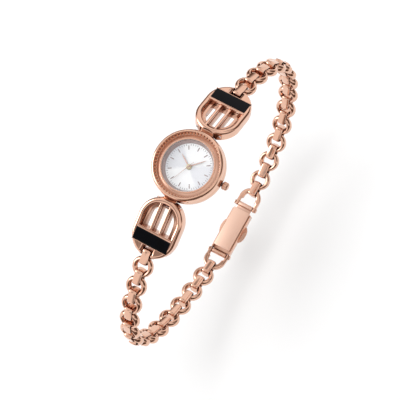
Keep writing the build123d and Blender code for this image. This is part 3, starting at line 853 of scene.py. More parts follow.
@dataclass
class Case:
    """Case middle, bezel, crystal and case back."""

    radius: float = 8.5
    bore: float = 6.6
    bezel_height: float = 1.7
    bezel_chamfer: float = 0.14
    case_height: float = 4.0
    back_height: float = 0.6
    back_inset: float = 0.85
    back_round: float = 0.25
    edge: float = 0.12
    foot_bevel: float = 0.6
    side_bow: float = 0.22
    bow_level: float = 0.36
    bow_radius: float = 9.0
    rim_width: float = 0.8
    rim_depth: float = 1.15
    rim_flat: float = 0.15
    channel_width: float = 1.2
    channel_depth: float = 1.2
    channel_rise: float = 0.25
    lip_width: float = 0.25
    lip_drop: float = 0.85
    lip_round: float = 0.07
    flute_count: int = 60
    flute_steps: int = 8
    flute_rest: float = 0.18
    flute_flank: float = 0.12
    flute_reach: float = 0.45
    flute_crest: float = 0.14
    flute_drop: float = 0.15
    flute_slope: float = 0.05
    flute_round: float = 0.02
    dish_lift: float = 0.004
    crystal_thickness: float = 0.8
    crystal_drop: float = 0.9
    crystal_gap: float = 0.005
    gasket: float = 0.12
    rehaut_width: float = 0.8
    rehaut_depth: float = 1.1
    rehaut_gap: float = 0.04
    hinge_reach: float = 0.85
    hinge_level: float = 2.55
    knuckle_radius: float = 0.95
    knuckle_length: float = 3.2
    lug_root: float = 0.8
    lug_thickness: float = 1.5

    @property
    def channel_outer(self) -> float:
        """Radius at the top of the fluted wall."""
        return self.radius - self.rim_width

    @property
    def channel_inner(self) -> float:
        """Radius outside the inner lip."""
        return self.channel_outer - self.channel_width

    @property
    def crystal_bore(self) -> float:
        """Radius inside the inner lip."""
        return self.channel_inner - self.lip_width

    def bezel_profile(self, turn: float) -> Profile:
        """Profile of the bezel, with the fluted wall's place at a turn.

        Args:
            turn: The turn in radians.

        Returns:
            The closed profile.
        """
        phase = turn * self.flute_count / (2 * math.pi) % 1.0
        tooth = min(1.0, max(0.0, (abs(phase - 0.5) - self.flute_rest) / self.flute_flank))
        outer, inner, bore, fine = self.channel_outer, self.channel_inner, self.crystal_bore, self.flute_round
        floor, base = -self.channel_depth, -self.bezel_height
        covered = bore - self.gasket - 0.02
        under = -self.crystal_drop + self.crystal_gap
        return filleted([
            (bore, under, 0.0),
            (covered, under, 0.0),
            (covered, -self.lip_drop, 0.03),
            (inner, -self.lip_drop, self.lip_round),
            (inner, floor + self.channel_rise, 0.03),
            (outer - self.flute_reach - 0.03, floor, fine),
            (outer - self.flute_reach * tooth - 0.02, floor, fine),
            (outer - self.flute_crest * tooth, -self.flute_drop - self.flute_slope, fine),
            (outer, -self.flute_drop + self.flute_slope, fine),
            (outer, 0.0, self.edge),
            (outer + self.rim_flat, 0.0, 0.0),
            *self.rim_curve(),
            (self.radius, base + self.bezel_chamfer, 0.0),
            (self.radius - self.bezel_chamfer, base, 0.0),
            (bore, base, 0.0),
        ], 4)

    def rim_curve(self) -> Corners:
        """The outer rounding of the rim, deeper than it is wide."""
        start = self.channel_outer + self.rim_flat
        wide, deep = self.radius - start, self.rim_depth
        turns = [math.pi / 2 * step / 8 for step in range(1, 9)]
        return [(start + wide * math.sin(t), -deep + deep * math.cos(t), 0.0) for t in turns]

    def dish_profile(self) -> Profile:
        """Profile of the thin dish that lies on the channel's floor."""
        inner = self.channel_inner + 0.02
        outer = self.channel_outer - self.flute_reach - 0.05
        floor = -self.channel_depth
        return [
            (inner, floor + self.channel_rise + self.dish_lift),
            (inner, floor),
            (outer, floor - 0.05),
            (outer, floor + self.dish_lift + 0.01),
        ]

    def side_profile(self) -> Profile:
        """Profile of the case middle, its side slightly crowned."""
        top = -self.bezel_height
        bottom = top - self.case_height
        return filleted([
            (self.bore, top, 0.0),
            (self.radius - self.side_bow, top, 0.0),
            (self.radius + self.side_bow * 0.7, top - self.case_height * self.bow_level, self.bow_radius),
            (self.radius - self.foot_bevel, bottom, self.edge),
            (self.bore, bottom, 0.0),
        ], 16)

    def lug_shell(self) -> Shell:
        """Both lug arms with their knuckles."""
        shell = Shell()
        half = self.lug_thickness / 2
        root = self.bore + self.lug_root
        start = math.degrees(math.asin(half / self.knuckle_radius))
        centre = (self.radius + self.hinge_reach, 0.0)
        outline = [(root, half), (root, -half)]
        outline += arc(centre, self.knuckle_radius, start - 180, 180 - start, 32)
        arm = Shell().slab(outline, -self.knuckle_length / 2, self.knuckle_length / 2, self.edge)
        for side in (-1, 1):
            mirror = Matrix.Scale(side, 4, (1, 0, 0))
            shell.plus(arm.placed(Matrix.Translation((0, 0, -self.hinge_level)) @ mirror @ QUARTER_TURN))
        return shell

    def crystal_profile(self) -> Profile:
        """Profile of the flat crystal with its small chamfer."""
        rim = self.crystal_bore - self.gasket
        top = -self.crystal_drop
        bottom = top - self.crystal_thickness
        return filleted([(0.0, top, 0.0), (rim, top, self.edge), (rim, bottom, 0.04), (0.0, bottom, 0.0)])

    def rehaut_profile(self) -> Profile:
        """Profile of the slope from the crystal's seat down to the dial."""
        high = -self.crystal_drop - self.crystal_thickness
        low = high - self.rehaut_depth
        inner = self.crystal_bore - self.rehaut_width
        outer = self.bore - self.rehaut_gap
        return filleted([
            (self.crystal_bore - self.lip_width, high, 0.05),
            (outer, high, 0.0),
            (outer, low, 0.0),
            (inner, low, 0.03),
            (inner, low + 0.12, 0.05),
        ])

    def back_profile(self) -> Profile:
        """Profile of the case back."""
        rim = self.radius - self.back_inset
        top = -self.bezel_height - self.case_height
        low = top - self.back_height
        return filleted([(0.0, top, 0.0), (rim, top, 0.0), (rim, low, self.back_round), (0.0, low, 0.0)])

    def build(self) -> None:
        """Makes and dresses the pieces of the case."""
        place = WATCH.head()
        bezel = Shell().spin(self.bezel_profile, self.flute_count * self.flute_steps)
        side = Shell().spin(self.side_profile()).plus(self.lug_shell())
        crystal = Shell().spin(self.crystal_profile(), AROUND_DISC)
        back = Shell().spin(self.back_profile(), AROUND_DISC)
        show("bezel_rim", bezel, place, BEZEL, "head", ["bezel"])
        show("bezel_dish", Shell().spin(self.dish_profile()), place, SATIN_ROUND, "head")
        show("rehaut_slope", Shell().spin(self.rehaut_profile()), place, REHAUT, "head")
        show("case_side", side, place, POLISHED, "head", ["case_middle"])
        show("crystal_disc", crystal, place, CLEAR, "head", ["crystal"]).visible_shadow = False
        show("case_back_plate", back, place, STEEL_BACK, "head", ["case_back"])
        dress(SEAL, "gaskets")
        dress(FITTING, "crown_tube", "lug_pins", "stem")


@dataclass(frozen=True)
class Hand:
    """One hand: its size in millimetres and its turn from twelve o'clock in degrees."""

    name: str
    length: float
    tail: float
    width: float
    boss: float
    turn: float


@dataclass
class DialSet:
    """Dial, markers, minute ticks and the three hands."""

    level: float = -2.8
    thickness: float = 0.3
    radius: float = 6.52
    hole: float = 0.67
    opening: float = 5.44
    marker_length: float = 0.95
    marker_width: float = 0.16
    marker_height: float = 0.12
    marker_margin: float = 0.5
    marker_eaves: float = 0.6
    tick_length: float = 0.4
    tick_width: float = 0.09
    tick_margin: float = 0.14
    tick_height: float = 0.008
    hand_thickness: float = 0.1
    hand_flank: float = 0.06
    hand_gap: float = 0.1
    hands: tuple[Hand, ...] = (
        Hand("hour", 3.5, 0.5, 0.34, 0.48, 303.8),
        Hand("minute", 4.3, 0.5, 0.28, 0.32, 45.4),
        Hand("seconds", 4.7, 1.5, 0.12, 0.2, 204.0),
    )

    def disc(self) -> Shell:
        """The dial's disc with its centre hole."""
        low, high = self.level - self.thickness, self.level
        profile = [(self.hole, high), (self.radius, high), (self.radius, low), (self.hole, low)]
        return Shell().spin(profile, AROUND_DISC)

    def markers(self) -> Shell:
        """Twelve faceted hour sticks."""
        shell = Shell()
        half, eaves = self.marker_width / 2, self.marker_height * self.marker_eaves
        roof = [(-half, 0.0), (half, 0.0), (half, eaves), (0.0, self.marker_height), (-half, eaves)]
        centre = self.opening - self.marker_margin - self.marker_length / 2
        for index in range(12):
            turn = Matrix.Rotation(index * math.pi / 6, 4, "Z")
            place = turn @ Matrix.Translation((centre, 0, self.level)) @ LAID_ALONG_X
            shell.prism(roof, -self.marker_length / 2, self.marker_length / 2, place)
        return shell

    def ticks(self) -> Shell:
        """The printed minute track, one tick for every minute between the hours."""
        shell = Shell()
        edge, half = self.opening - self.tick_margin, self.tick_width / 2
        outline = rectangle((edge - self.tick_length, -half), (edge, half))
        for index in range(60):
            if index % 5:
                turn = Matrix.Rotation(index * math.pi / 30, 4, "Z")
                shell.prism(outline, self.level - 0.01, self.level + self.tick_height, turn)
        return shell

    def baton(self, hand: Hand, low: float) -> Shell:
        """A tapered hand with a ridge along it and a round boss.

        Args:
            hand: The hand.
            low: Height of its underside.

        Returns:
            The hand's shell, turned to its place on the dial.
        """
        high, flank = low + self.hand_thickness, low + self.hand_flank
        rings = []
        for x, share in ((hand.tail, 0.55), (0.0, 1.0), (-hand.length * 0.75, 0.72), (-hand.length, 0.16)):
            half = hand.width * share / 2
            section = ((-half, low), (half, low), (half, flank), (0.0, high), (-half, flank))
            rings.append([Vector((x, y, z)) for y, z in section])
        boss = hand.boss
        disc = filleted([(0.0, low, 0.0), (boss, low, 0.0), (boss, high, 0.03), (0.0, high, 0.0)], 3)
        turn = Matrix.Rotation(-math.radians(hand.turn), 4, "Z")
        return Shell().loft(rings).spin(disc, 32).placed(turn)

    def build(self) -> None:
        """Makes and dresses the dial and the hands."""
        place = WATCH.head()
        show("dial_disc", self.disc(), place, DIAL_SHEEN, "head", ["dial"])
        show("hour_sticks", self.markers(), place, MARKER, "head", ["hour_markers"], FACET_CREASE)
        show("minute_track", self.ticks(), place, PRINT, "head")
        level = self.level + self.marker_height + self.hand_gap
        for hand in self.hands:
            body = f"{hand.name}_hand"
            show(f"{hand.name}_baton", self.baton(hand, level), place, HAND_GOLD, body, [body], FACET_CREASE)
            level += self.hand_thickness + self.hand_gap
        dress(BRASS, "hour_wheel", "centre_wheel", "seconds_wheel", "main_plate", "train_bridge")
        dress(HOLDER, "movement_holder")
        dress(CELL, "battery")
        dress(WINDING, "coil")
        dress(BOARD, "circuit_board")


@dataclass
class Crown:
    """The fluted crown, drawn about its own axis."""

    radius: float = 0.95
    length: float = 1.35
    gap: float = 0.3
    level: float = 3.7
    case_radius: float = 8.5
    flutes: int = 18
    flute_steps: int = 8
    flute_depth: float = 0.1
    flute_share: float = 1.6
    shoulder: float = 0.35

    def profile(self, turn: float) -> Profile:
        """Profile at a turn, drawn in between the flutes.

        Args:
            turn: The turn in radians.

        Returns:
            The closed profile.
        """
        share = 0.5 + 0.5 * math.cos(turn * self.flutes)
        rim = self.radius - self.flute_depth * min(1.0, self.flute_share * share)
        return filleted([
            (0.0, 0.0, 0.0),
            (rim - 0.08, 0.0, 0.05),
            (rim, 0.12, 0.08),
            (rim, self.length - self.shoulder, 0.2),
            (self.radius * 0.6, self.length, 0.3),
            (0.0, self.length, 0.0),
        ], 4)

    def build(self) -> None:
        """Makes and dresses the crown."""
        origin = WATCH.point(0.0, -self.level, self.case_radius + self.gap)
        cap = Shell().spin(self.profile, self.flutes * self.flute_steps)
        show("crown_cap", cap, place_of(origin, SIX, -OUT), POLISHED, "crown", ["crown"])


# Bracelet


@dataclass
class EndPiece:
    """One slotted end piece with its fins, ribs and inlay."""

    side: Side
    length: float = 14.6
    width: float = 11.0
    depth: float = 3.0
    nose: float = 1.0
    edge: float = 0.68
    wall: float = 1.5
    window: float = 6.75
    knuckle_slot_width: float = 3.4
    knuckle_reach: float = 1.05
    strap_slot: float = 2.4
    bar_radius: float = 0.6
    bar_overlap: float = 1.2
    hole: float = 1.5
    fin_thickness: float = 0.65
    fin_height: float = 2.7
    fin_drop: float = 0.2
    fin_crest: float = 0.16
    fin_root: float = 0.3
    shelf_width: float = 0.85
    shelf_drop: float = 1.0
    slot_web: float = 1.0
    overlap: float = 0.1
    rib: float = 0.28
    rib_height: float = 0.14
    rib_root: float = 0.3
    rib_overhang: float = 0.12
    far_rib_gap: float = 0.03
    far_rib: float = 0.16
    far_rib_height: float = 0.08
    inlay_length: float = 9.04
    inlay_width: float = 2.94
    inlay_room: float = 3.0
    inlay_gap: float = 0.3
    inlay_proud: float = 0.12
    inlay_root: float = 0.55
    inlay_corner: float = 0.12
    head_radius: float = 8.5
    head_bevel: float = 0.28
    head_height: float = 6.3
    head_relief: float = 0.14
    hinge_reach: float = 0.85
    hinge_level: float = 2.55
    droops: tuple[float, ...] = (28.5, 20.0, 12.0, 4.0, -4.5)

    @property
    def near_centre(self) -> float:
        """Middle of the rounding towards the case, which the window's arch shares."""
        return self.width / 2 - self.nose

    @property
    def window_radius(self) -> float:
        """Radius of the window's arch, half the window's width."""
        return self.width / 2 - self.wall

    @property
    def window_end(self) -> float:
        """Where the window's straight side lies."""
        return self.wall - self.nose + self.window

    @property
    def bar_x(self) -> float:
        """Where the bar that holds the first strap lies."""
        return self.length - self.nose - self.bar_radius

    @property
    def inlay_x(self) -> float:
        """Middle of the inlay."""
        return self.window_end + self.rib + self.inlay_gap + self.inlay_room / 2

    @property
    def pitch(self) -> float:
        """Distance between the fins, with equally wide slots beside them."""
        return (self.width - 2 * self.wall - 2 * self.shelf_width + self.slot_web) / 3

    def place(self) -> Matrix:
        """Place of the end piece: x away from the case, z outwards."""
        label = self.side.label
        hinge = pivot(f"end_piece_{label}_hinge")
        return place_of(hinge, pivot(f"link_{label}_01_hinge") - hinge, THREE * self.side.sign)

    def outline(self) -> Profile:
        """The rounded outline with the slot for the first strap."""
        radius = self.width / 2
        far = self.length - self.nose - radius
        slot = self.strap_slot / 2
        turn = math.degrees(math.asin(slot / radius))
        hole_x = self.bar_x - self.bar_radius - self.hole
        line = arc((self.near_centre, 0.0), radius, 270, 90, 56)
        line += arc((far, 0.0), radius, 90, turn, 28)
        line += [(hole_x, slot), (hole_x, -slot)]
        return line + arc((far, 0.0), radius, -turn, -90, 28)

    def window_line(self, spare: float = 0.0) -> Profile:
        """The arched window.

        Args:
            spare: How far the line runs outside the window.

        Returns:
            The window's outline.
        """
        radius = self.window_radius + spare
        end = self.window_end + spare
        return arc((self.near_centre, 0.0), radius, 270, 90, 48) + [(end, radius), (end, -radius)]

    def knuckle_slot(self) -> Shell:
        """The block cut out of the underside for the case's knuckle."""
        half = self.knuckle_slot_width / 2
        outline = rectangle((-self.nose - 1, -half), (self.knuckle_reach, half))
        return Shell().prism(outline, -self.depth, self.knuckle_reach)

    def head_block(self, droop: float) -> Shell:
        """The room that the round head takes up, with the end piece turned down by a droop.

        Args:
            droop: The droop in degrees.

        Returns:
            The block in the end piece's frame.
        """
        radius = self.head_radius + self.head_relief
        profile = [
            (0.0, self.head_relief),
            (radius - self.head_bevel, self.head_relief),
            (radius, -self.head_bevel),
            (radius, -self.head_height),
            (0.0, -self.head_height),
        ]
        hinge = Matrix.Translation((self.head_radius + self.hinge_reach, 0.0, -self.hinge_level))
        turn = Matrix.Rotation(math.radians(droop), 4, "Y")
        return Shell().spin(profile).placed((hinge @ turn).inverted())

    def slot_line(self, centre: float) -> Profile:
        """One slot of the window's floor, its near end on the ledge's arch.

        Args:
            centre: Where the slot's middle lies across the window.

        Returns:
            The slot's outline.
        """
        radius = self.window_radius - self.shelf_width
        half = (self.pitch - self.slot_web) / 2
        steps = [centre + half * (step / 6 - 1) for step in range(13)]
        line = [(self.near_centre - math.sqrt(max(radius ** 2 - y ** 2, 0.0)), y) for y in steps]
        far = self.window_end - 0.01
        return line + [(far, centre + half), (far, centre - half)]

    def shelf(self) -> Shell:
        """The window's slotted floor: a ledge along the arch and a web under each fin."""
        slots = [self.slot_line(place * self.pitch) for place in (-1, 0, 1)]
        half = self.depth / 2
        outline = self.window_line(self.overlap)
        return Shell().slab(outline, -half + 0.02, half - self.shelf_drop, 0.05, slots, 2)

    def fins(self) -> Shell:
        """The thin fins across the window, with rounded crests."""
        shell = Shell()
        top = self.depth / 2 - self.fin_drop
        foot, half = top - self.fin_height, self.fin_thickness / 2
        low = [(x, foot, 0.05) for x in (-half, half)]
        section = filleted([*low, *((x, top, self.fin_crest) for x in (half, -half))], 4)
        y = self.pitch / 2
        start = self.near_centre - math.sqrt(self.window_radius ** 2 - y ** 2) - self.fin_root
        reach = (self.window_end + self.fin_root - start) / 2
        for side in (-1, 1):
            place = Matrix.Translation((start + reach, side * y, 0)) @ LAID_ALONG_X
            shell.prism(section, -reach, reach, place)
        return shell

    def ribs(self) -> Shell:
        """The bright lines along both long sides of the inlay, the far one thinner."""
        shell = Shell()
        top = self.depth / 2
        half = self.inlay_length / 2 + self.rib_overhang
        far = self.inlay_x + self.inlay_width / 2 + self.far_rib_gap
        lines = ((self.window_end, self.rib, self.rib_height), (far, self.far_rib, self.far_rib_height))
        for start, width, lift in lines:
            outline = rectangle((start, -half), (start + width, half))
            shell.slab(outline, top - self.rib_root, top + lift, 0.06)
        return shell

    def inlay(self) -> Shell:
        """The inlay, softly rounded along its edges."""
        top = self.depth / 2
        x, half_x, half_y = self.inlay_x, self.inlay_width / 2, self.inlay_length / 2
        outline = rectangle((x - half_x, -half_y), (x + half_x, half_y), self.inlay_corner)
        return Shell().slab(outline, top - self.inlay_root, top + self.inlay_proud, 0.1)

    def with_room(self, shell: Shell) -> bpy.types.Mesh:
        """A part of the end piece with the room for the case's knuckle and the round head cut out.

        Args:
            shell: The part.

        Returns:
            The finished mesh.
        """
        mesh = shell.mesh("end_part")
        for block in (self.knuckle_slot(), *(self.head_block(droop) for droop in self.droops)):
            mesh = carved(mesh, block)
        return mesh

    def build(self) -> None:
        """Makes and dresses the end piece and its inlay."""
        label, half = self.side.label, self.depth / 2
        body = f"end_piece_{label}"
        plate = Shell().slab(self.outline(), -half, half, self.edge, [self.window_line()], 6)
        reach = (self.strap_slot + self.bar_overlap) / 2
        bar = Shell().prism(arc((self.bar_x, 0.0), self.bar_radius, 0, 345, 23), -reach, reach, QUARTER_TURN)
        pieces = (
            ("end_frame", self.with_room(plate), SLOTTED, [body]),
            ("end_shelf", self.with_room(self.shelf()), SLOTTED, []),
            ("strap_bar", bar, POLISHED, []),
            ("end_fins", self.fins(), SLOTTED, []),
            ("end_ribs", self.ribs(), POLISHED, []),
            ("enamel_bar", self.inlay(), BLACK, [f"inlay_{label}"]),
        )
        for name, shape, finish, nodes in pieces:
            show(f"{name}_{label}", shape, self.place(), finish, body, nodes)


@dataclass
class Chain:
    """Rings and folded straps of one side, and the end link with its pin."""

    side: Side
    count: int = 13
    ring_radius: float = 2.6
    wire: float = 1.2
    ring_depth: float = 1.8
    ring_gap: float = 0.13
    ring_steps: int = 56
    wire_steps: int = 24
    strap_crown: float = 0.12
    strap_width: float = 1.9
    strap_thickness: float = 0.3
    strap_half: float = 1.105
    strap_reach: float = 1.04
    strap_edge: float = 0.05
    fold_radius: float = 0.62
    shackle_radius: float = 2.8
    shackle_leg: float = 0.8
    shackle_reach: float = 2.3
    shackle_round: float = 0.38
    eye_slope: float = 0.3
    pin_radius: float = 0.36
    head_radius: float = 0.55
    head_height: float = 0.25
    head_round: float = 0.16
    sleeve_radius: float = 0.62
    sleeve_gap: float = 0.1
    sleeve_round: float = 0.08
    clasp_gap: float = 0.8

    @property
    def spacing(self) -> float:
        """From the wire before to the near wire of the link's own ring."""
        return self.ring_gap + self.wire

    @property
    def ring_centre(self) -> float:
        """Middle of the ring along the link."""
        return self.spacing + self.ring_radius - self.wire / 2

    @property
    def pin_x(self) -> float:
        """Where the clasp's pin lies on the end link."""
        return self.ring_centre + self.shackle_reach

    def ring(self) -> Shell:
        """The ring in the link's frame, its axis along y and its wire an oval."""
        wire_centre = self.ring_radius - self.wire / 2
        turns = [2 * math.pi * step / self.wire_steps for step in range(self.wire_steps)]
        wide, deep = self.wire / 2, self.ring_depth / 2
        section = [(wire_centre + wide * math.cos(t), deep * math.sin(t)) for t in turns]
        place = Matrix.Translation((self.ring_centre, 0, 0)) @ QUARTER_TURN
        return Shell().spin(section, self.ring_steps).placed(place)

    def strap_section(self) -> Profile:
        """Section of the strap, crowned on its outside."""
        thick, wide, low = self.strap_thickness / 2, self.strap_width / 2, -self.strap_crown / 2
        across = [step / 4 for step in range(-4, 5)]
        crest = [(thick - self.strap_crown * share ** 2, share * (wide - 0.04)) for share in across]
        inside = wide - self.strap_edge
        return [(-thick, -inside), (low, -wide), *crest, (low, wide), (-thick, inside)]

    def strap(self) -> Shell:
        """The folded strap: a closed band with rolled ends and softly crowned faces."""
        half = self.strap_half + self.strap_thickness / 2
        reach = self.strap_reach + self.strap_thickness / 2
        path = rectangle((-reach, -half), (self.spacing + reach, half), self.fold_radius, 7)
        section = self.strap_section()
        rings = []
        for index, (x, y) in enumerate(path):
            before, after = path[index - 1], path[(index + 1) % len(path)]
            along = Vector((after[0] - before[0], after[1] - before[1], 0.0)).normalized()
            outwards = Vector((along.y, -along.x, 0.0))
            rings.append([Vector((x, y, 0.0)) + outwards * a + Vector((0, 0, b)) for a, b in section])
        return Shell().loft(rings, joined=True)

    def shackle(self) -> Shell:
        """The D-shaped shackle whose eyes hold the clasp's pin."""
        arch = self.spacing - self.wire / 2 + self.shackle_radius
        outer, half = self.shackle_radius, self.wire / 2
        inner, eye = outer - self.wire, outer - self.shackle_leg
        step_x = self.pin_x - self.sleeve_radius - self.clasp_gap
        end = self.pin_x + half
        leg = [(arch, -outer), (end, -outer), (end, -eye), (step_x, -eye)]
        other_leg = [(x, -y) for x, y in reversed(leg)]
        line = arc((arch, 0.0), outer, 90, 270, 40) + filleted_run(leg, self.shackle_round)
        line += [(step_x - self.eye_slope, -inner)]
        line += arc((arch, 0.0), inner, 270, 90, 28)
        line += [(step_x - self.eye_slope, inner)] + filleted_run(other_leg, self.shackle_round)
        return Shell().slab(line, -half, half, self.shackle_round, steps=5).placed(QUARTER_TURN)

    def pin(self) -> Shell:
        """The clasp's pin with its two domed heads, sleeved on the six o'clock side."""
        half = self.shackle_radius
        top = half + self.head_height
        upper = [
            (self.pin_radius, half, 0.0),
            (self.head_radius, half, 0.0),
            (self.head_radius, top, self.head_round),
            (0.0, top, 0.0),
        ]
        lower = [(radius, -height, rounding) for radius, height, rounding in reversed(upper)]
        shell = Shell().spin(filleted(lower + upper, 4), 32)
        if self.side is Side.SIX:
            reach, radius = self.shackle_radius - self.shackle_leg - self.sleeve_gap, self.sleeve_radius
            ends = [(radius, -reach, self.sleeve_round), (radius, reach, self.sleeve_round)]
            shell.spin(filleted([(0.0, -reach, 0.0), *ends, (0.0, reach, 0.0)], 3), 40)
        return shell.placed(Matrix.Translation((self.pin_x, 0, 0)))

    def places(self) -> list[Matrix]:
        """Places of the links and of the end link, x along the chain and z to three o'clock."""
        label = self.side.label
        joints = [f"link_{label}_{index + 1:02d}_hinge" for index in range(self.count)]
        joints.append(f"end_link_{label}_hinge")
        points = [pivot(name) for name in joints] + [middle(f"clasp_pin_{label}")]
        return [place_of(a, b - a, THREE.cross(b - a)) for a, b in zip(points, points[1:])]

    def build(self) -> None:
        """Makes and dresses the chain of this side."""
        label = self.side.label
        *link_places, end_place = self.places()
        link_mesh = self.ring().plus(self.strap()).mesh(f"chain_link_{label}")
        for index, place in enumerate(link_places, 1):
            name = f"link_{label}_{index:02d}"
            show(f"chain_{name}", link_mesh, place, POLISHED, name, [name])
        body = f"end_link_{label}"
        show(f"shackle_{label}", self.shackle().plus(self.strap()), end_place, POLISHED, body, [body])
        show(f"pin_{label}", self.pin(), end_place, POLISHED, body, [f"clasp_pin_{label}"])


@dataclass
class Clasp:
    """The fold-over clasp, its edges rounded over the CAD forms."""

    rounding: float = 0.09 * MM

    def build(self) -> None:
        """Makes and dresses the clasp."""
        for node, finish in (("clasp_base", CLASP_SATIN_PAINTED_LIGHT), ("clasp_cover", CLASP_POLISH)):
            mesh = softened_copy(node, self.rounding)
            show(f"{node}_plate", mesh, Matrix.Identity(4), finish, node, [node])
        dress(FITTING, "cover_pin")


# Studio


@dataclass(frozen=True)
class Flag:
    """A soft dark area in the white that the metal reflects.

    Its direction is given in the view, its reach and fade in degrees.
    """

    right: float
    up: float
    near: float
    reach: float
    fade: float
    depth: float


@dataclass(frozen=True)
class Lamp:
    """A square lamp, by its place in the view and its size in metres and its power in watts."""

    name: str
    place: tuple[float, float, float]
    size: float
    power: float
    reflected: bool


@dataclass(frozen=True)
class View:
    """The camera's axes in the frame, and the point that it looks at, in metres."""

    right: Vector
    up: Vector
    back: Vector
    aim: Vector

    def direction(self, right: float, up: float, near: float) -> Vector:
        """The way that goes so far right, up and nearer to the camera."""
        return self.right * right + self.up * up + self.back * near


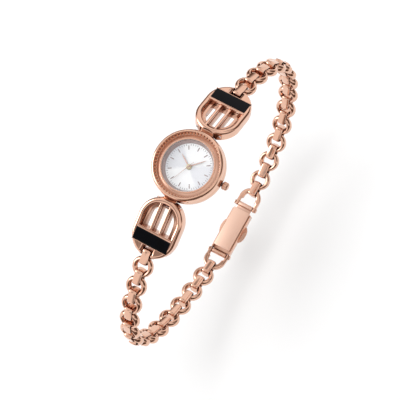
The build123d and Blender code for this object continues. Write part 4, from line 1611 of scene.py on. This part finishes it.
@dataclass
class Studio:
    """Camera, lamps, table and surroundings."""

    target: tuple[float, float, float] = (3.56, -25.0, -0.8)
    distance: float = 541.6
    azimuth: float = 4.997
    elevation: float = 16.927
    roll: float = 117.472
    lens: float = 206.33
    table_out: float = -75.6
    table_half: float = 150.0
    table_glow: float = 0.16
    paper: Colour = (0.93, 0.93, 0.93)
    room_level: float = 0.52
    dusk: Colour = (0.1, 0.055, 0.035)
    lamps: tuple[Lamp, ...] = (
        Lamp("key", (-0.27, 0.33, 0.9), 0.5, 5.2, reflected=False),
        Lamp("side", (-0.88, 0.22, 0.25), 0.6, 4.6, reflected=True),
    )
    flags: tuple[Flag, ...] = (
        Flag(0.1, -0.95, 0.3, 30.0, 18.0, 0.95),
        Flag(0.9, 0.3, 0.3, 22.0, 16.0, 0.95),
        Flag(-0.35, 0.75, -0.55, 27.0, 18.0, 0.95),
        Flag(0.75, -0.6, 0.3, 14.0, 8.0, 0.9),
        Flag(-0.15, -0.45, 0.88, 6.0, 7.0, 0.85),
        Flag(0.35, 0.55, 0.75, 6.0, 7.0, 0.85),
        Flag(-0.7, -0.2, 0.7, 6.0, 7.0, 0.75),
        Flag(0.62, -0.1, 0.78, 6.0, 9.0, 0.6),
        Flag(-0.1, 0.85, 0.5, 5.0, 8.0, 0.7),
        Flag(-0.22, 0.21, 0.95, 18.0, 12.0, 0.25),
    )

    def view(self) -> View:
        """The photograph's viewing angle."""
        turn, rise = math.radians(self.azimuth), math.radians(self.elevation)
        level = SIX * math.sin(turn) + OUT * math.cos(turn)
        back = level * math.cos(rise) + THREE * math.sin(rise)
        up = (THREE - back * THREE.dot(back)).normalized()
        up = Matrix.Rotation(math.radians(self.roll), 3, back) @ up
        return View(up.cross(back), up, back, WATCH.point(*self.target))

    def camera(self, view: View) -> None:
        """Sets up the camera.

        Args:
            view: The view that it takes.
        """
        data = bpy.data.cameras.new("view")
        data.lens = self.lens
        data.sensor_width = 36.0
        data.sensor_fit = "HORIZONTAL"
        data.clip_start = 0.01
        camera = bpy.data.objects.new("view", data)
        turn = Matrix((view.right, view.up, view.back)).transposed().to_4x4()
        camera.matrix_world = Matrix.Translation(view.aim + view.back * self.distance * MM) @ turn
        bpy.context.scene.collection.objects.link(camera)
        bpy.context.scene.camera = camera

    def light(self, view: View, lamp: Lamp) -> None:
        """Hangs a lamp that is aimed at the watch.

        Args:
            view: The view that its place is given in.
            lamp: The lamp.
        """
        data = bpy.data.lights.new(lamp.name, "AREA")
        data.size = lamp.size
        data.energy = lamp.power
        piece = bpy.data.objects.new(lamp.name, data)
        piece.visible_glossy = lamp.reflected
        piece.visible_transmission = False
        reach = view.direction(*lamp.place)
        away = reach.normalized()
        side = away.cross(view.up).normalized()
        turn = Matrix((side, away.cross(side), away)).transposed().to_4x4()
        piece.matrix_world = Matrix.Translation(view.aim + reach) @ turn
        bpy.context.scene.collection.objects.link(piece)

    def table(self) -> None:
        """The white table behind the clasp, seen from its front only."""
        corners = rectangle((-self.table_half, -self.table_half), (self.table_half, self.table_half))
        mesh = bpy.data.meshes.new("table")
        mesh.from_pydata([Vector((x, y, 0.0)) for x, y in corners], [], [(0, 1, 2, 3)])
        mesh.materials.append(self.table_white())
        table = bpy.data.objects.new("table", mesh)
        table.matrix_world = place_of(WATCH.point(0.0, self.table_out, 0.0), SIX, THREE)
        bpy.context.scene.collection.objects.link(table)

    def table_white(self) -> bpy.types.Material:
        """The table's paper, lifted to white where it is seen and clear from behind."""
        made = blank("table_white")
        nodes = Nodes(made.node_tree)
        paper = nodes.add("ShaderNodeBsdfDiffuse", {"Color": (*self.paper, 1.0)}).outputs[0]
        glow = nodes.add("ShaderNodeEmission", {"Color": (*WHITE, 1.0)}).outputs[0]
        clear = nodes.add("ShaderNodeBsdfTransparent").outputs[0]
        seen = nodes.rays("Is Camera Ray", "Is Glossy Ray", "Is Transmission Ray")
        face = nodes.blend(nodes.math("MULTIPLY", seen, self.table_glow), paper, glow)
        behind = nodes.add("ShaderNodeNewGeometry").outputs["Backfacing"]
        nodes.feed(nodes.blend(behind, face, clear), nodes.output.inputs["Surface"])
        return made

    def surroundings(self, view: View) -> None:
        """White all round, with dark flags in it for the polished metal and a dimmer room light.

        Args:
            view: The view that the flags are placed in.
        """
        world = bpy.data.worlds.new("studio")
        bpy.context.scene.world = world
        world.use_nodes = True
        nodes = Nodes(world.node_tree, "ShaderNodeOutputWorld")
        where = nodes.add("ShaderNodeTexCoord").outputs["Generated"]
        left = 1.0
        for flag in self.flags:
            left = nodes.math("SUBTRACT", left, self.darkness(nodes, where, view, flag))
        flagged = nodes.background(nodes.math("MAXIMUM", left, 0.0), self.dusk)
        lit = nodes.blend(nodes.rays("Is Glossy Ray"), nodes.background(self.room_level), flagged)
        plain = nodes.rays("Is Camera Ray", "Is Transmission Ray")
        nodes.feed(nodes.blend(plain, lit, nodes.background(1.0)), nodes.output.inputs["Surface"])

    def darkness(self, nodes: Nodes, where: Socket, view: View, flag: Flag) -> Socket:
        """What one flag takes from the white, over the directions.

        Args:
            nodes: The world's tree.
            where: The direction.
            view: The view that the flag is placed in.
            flag: The flag.

        Returns:
            The value's socket.
        """
        aim = view.direction(flag.right, flag.up, flag.near).normalized()
        dot = nodes.add("ShaderNodeVectorMath", {0: where, 1: aim}, operation="DOT_PRODUCT").outputs["Value"]
        start, full = (math.cos(math.radians(angle)) for angle in (flag.reach + flag.fade, flag.reach))
        feeds = {"Value": dot, "From Min": start, "From Max": full, "To Max": flag.depth}
        return nodes.add("ShaderNodeMapRange", feeds, interpolation_type="SMOOTHSTEP").outputs["Result"]

    def build(self) -> None:
        """Sets up the studio."""
        bpy.context.scene.view_settings.view_transform = "Standard"
        view = self.view()
        self.camera(view)
        self.table()
        self.surroundings(view)
        for lamp in self.lamps:
            self.light(view, lamp)


def main() -> None:
    """Builds the studio and the watch, sub-assembly by sub-assembly."""
    logging.basicConfig(level=logging.INFO)
    Studio().build()
    for part in (Case(), DialSet(), Crown(), Clasp()):
        log.info("building %s", type(part).__name__)
        part.build()
    for side in Side:
        EndPiece(side).build()
        Chain(side).build()


if __name__ == "__main__":
    main()
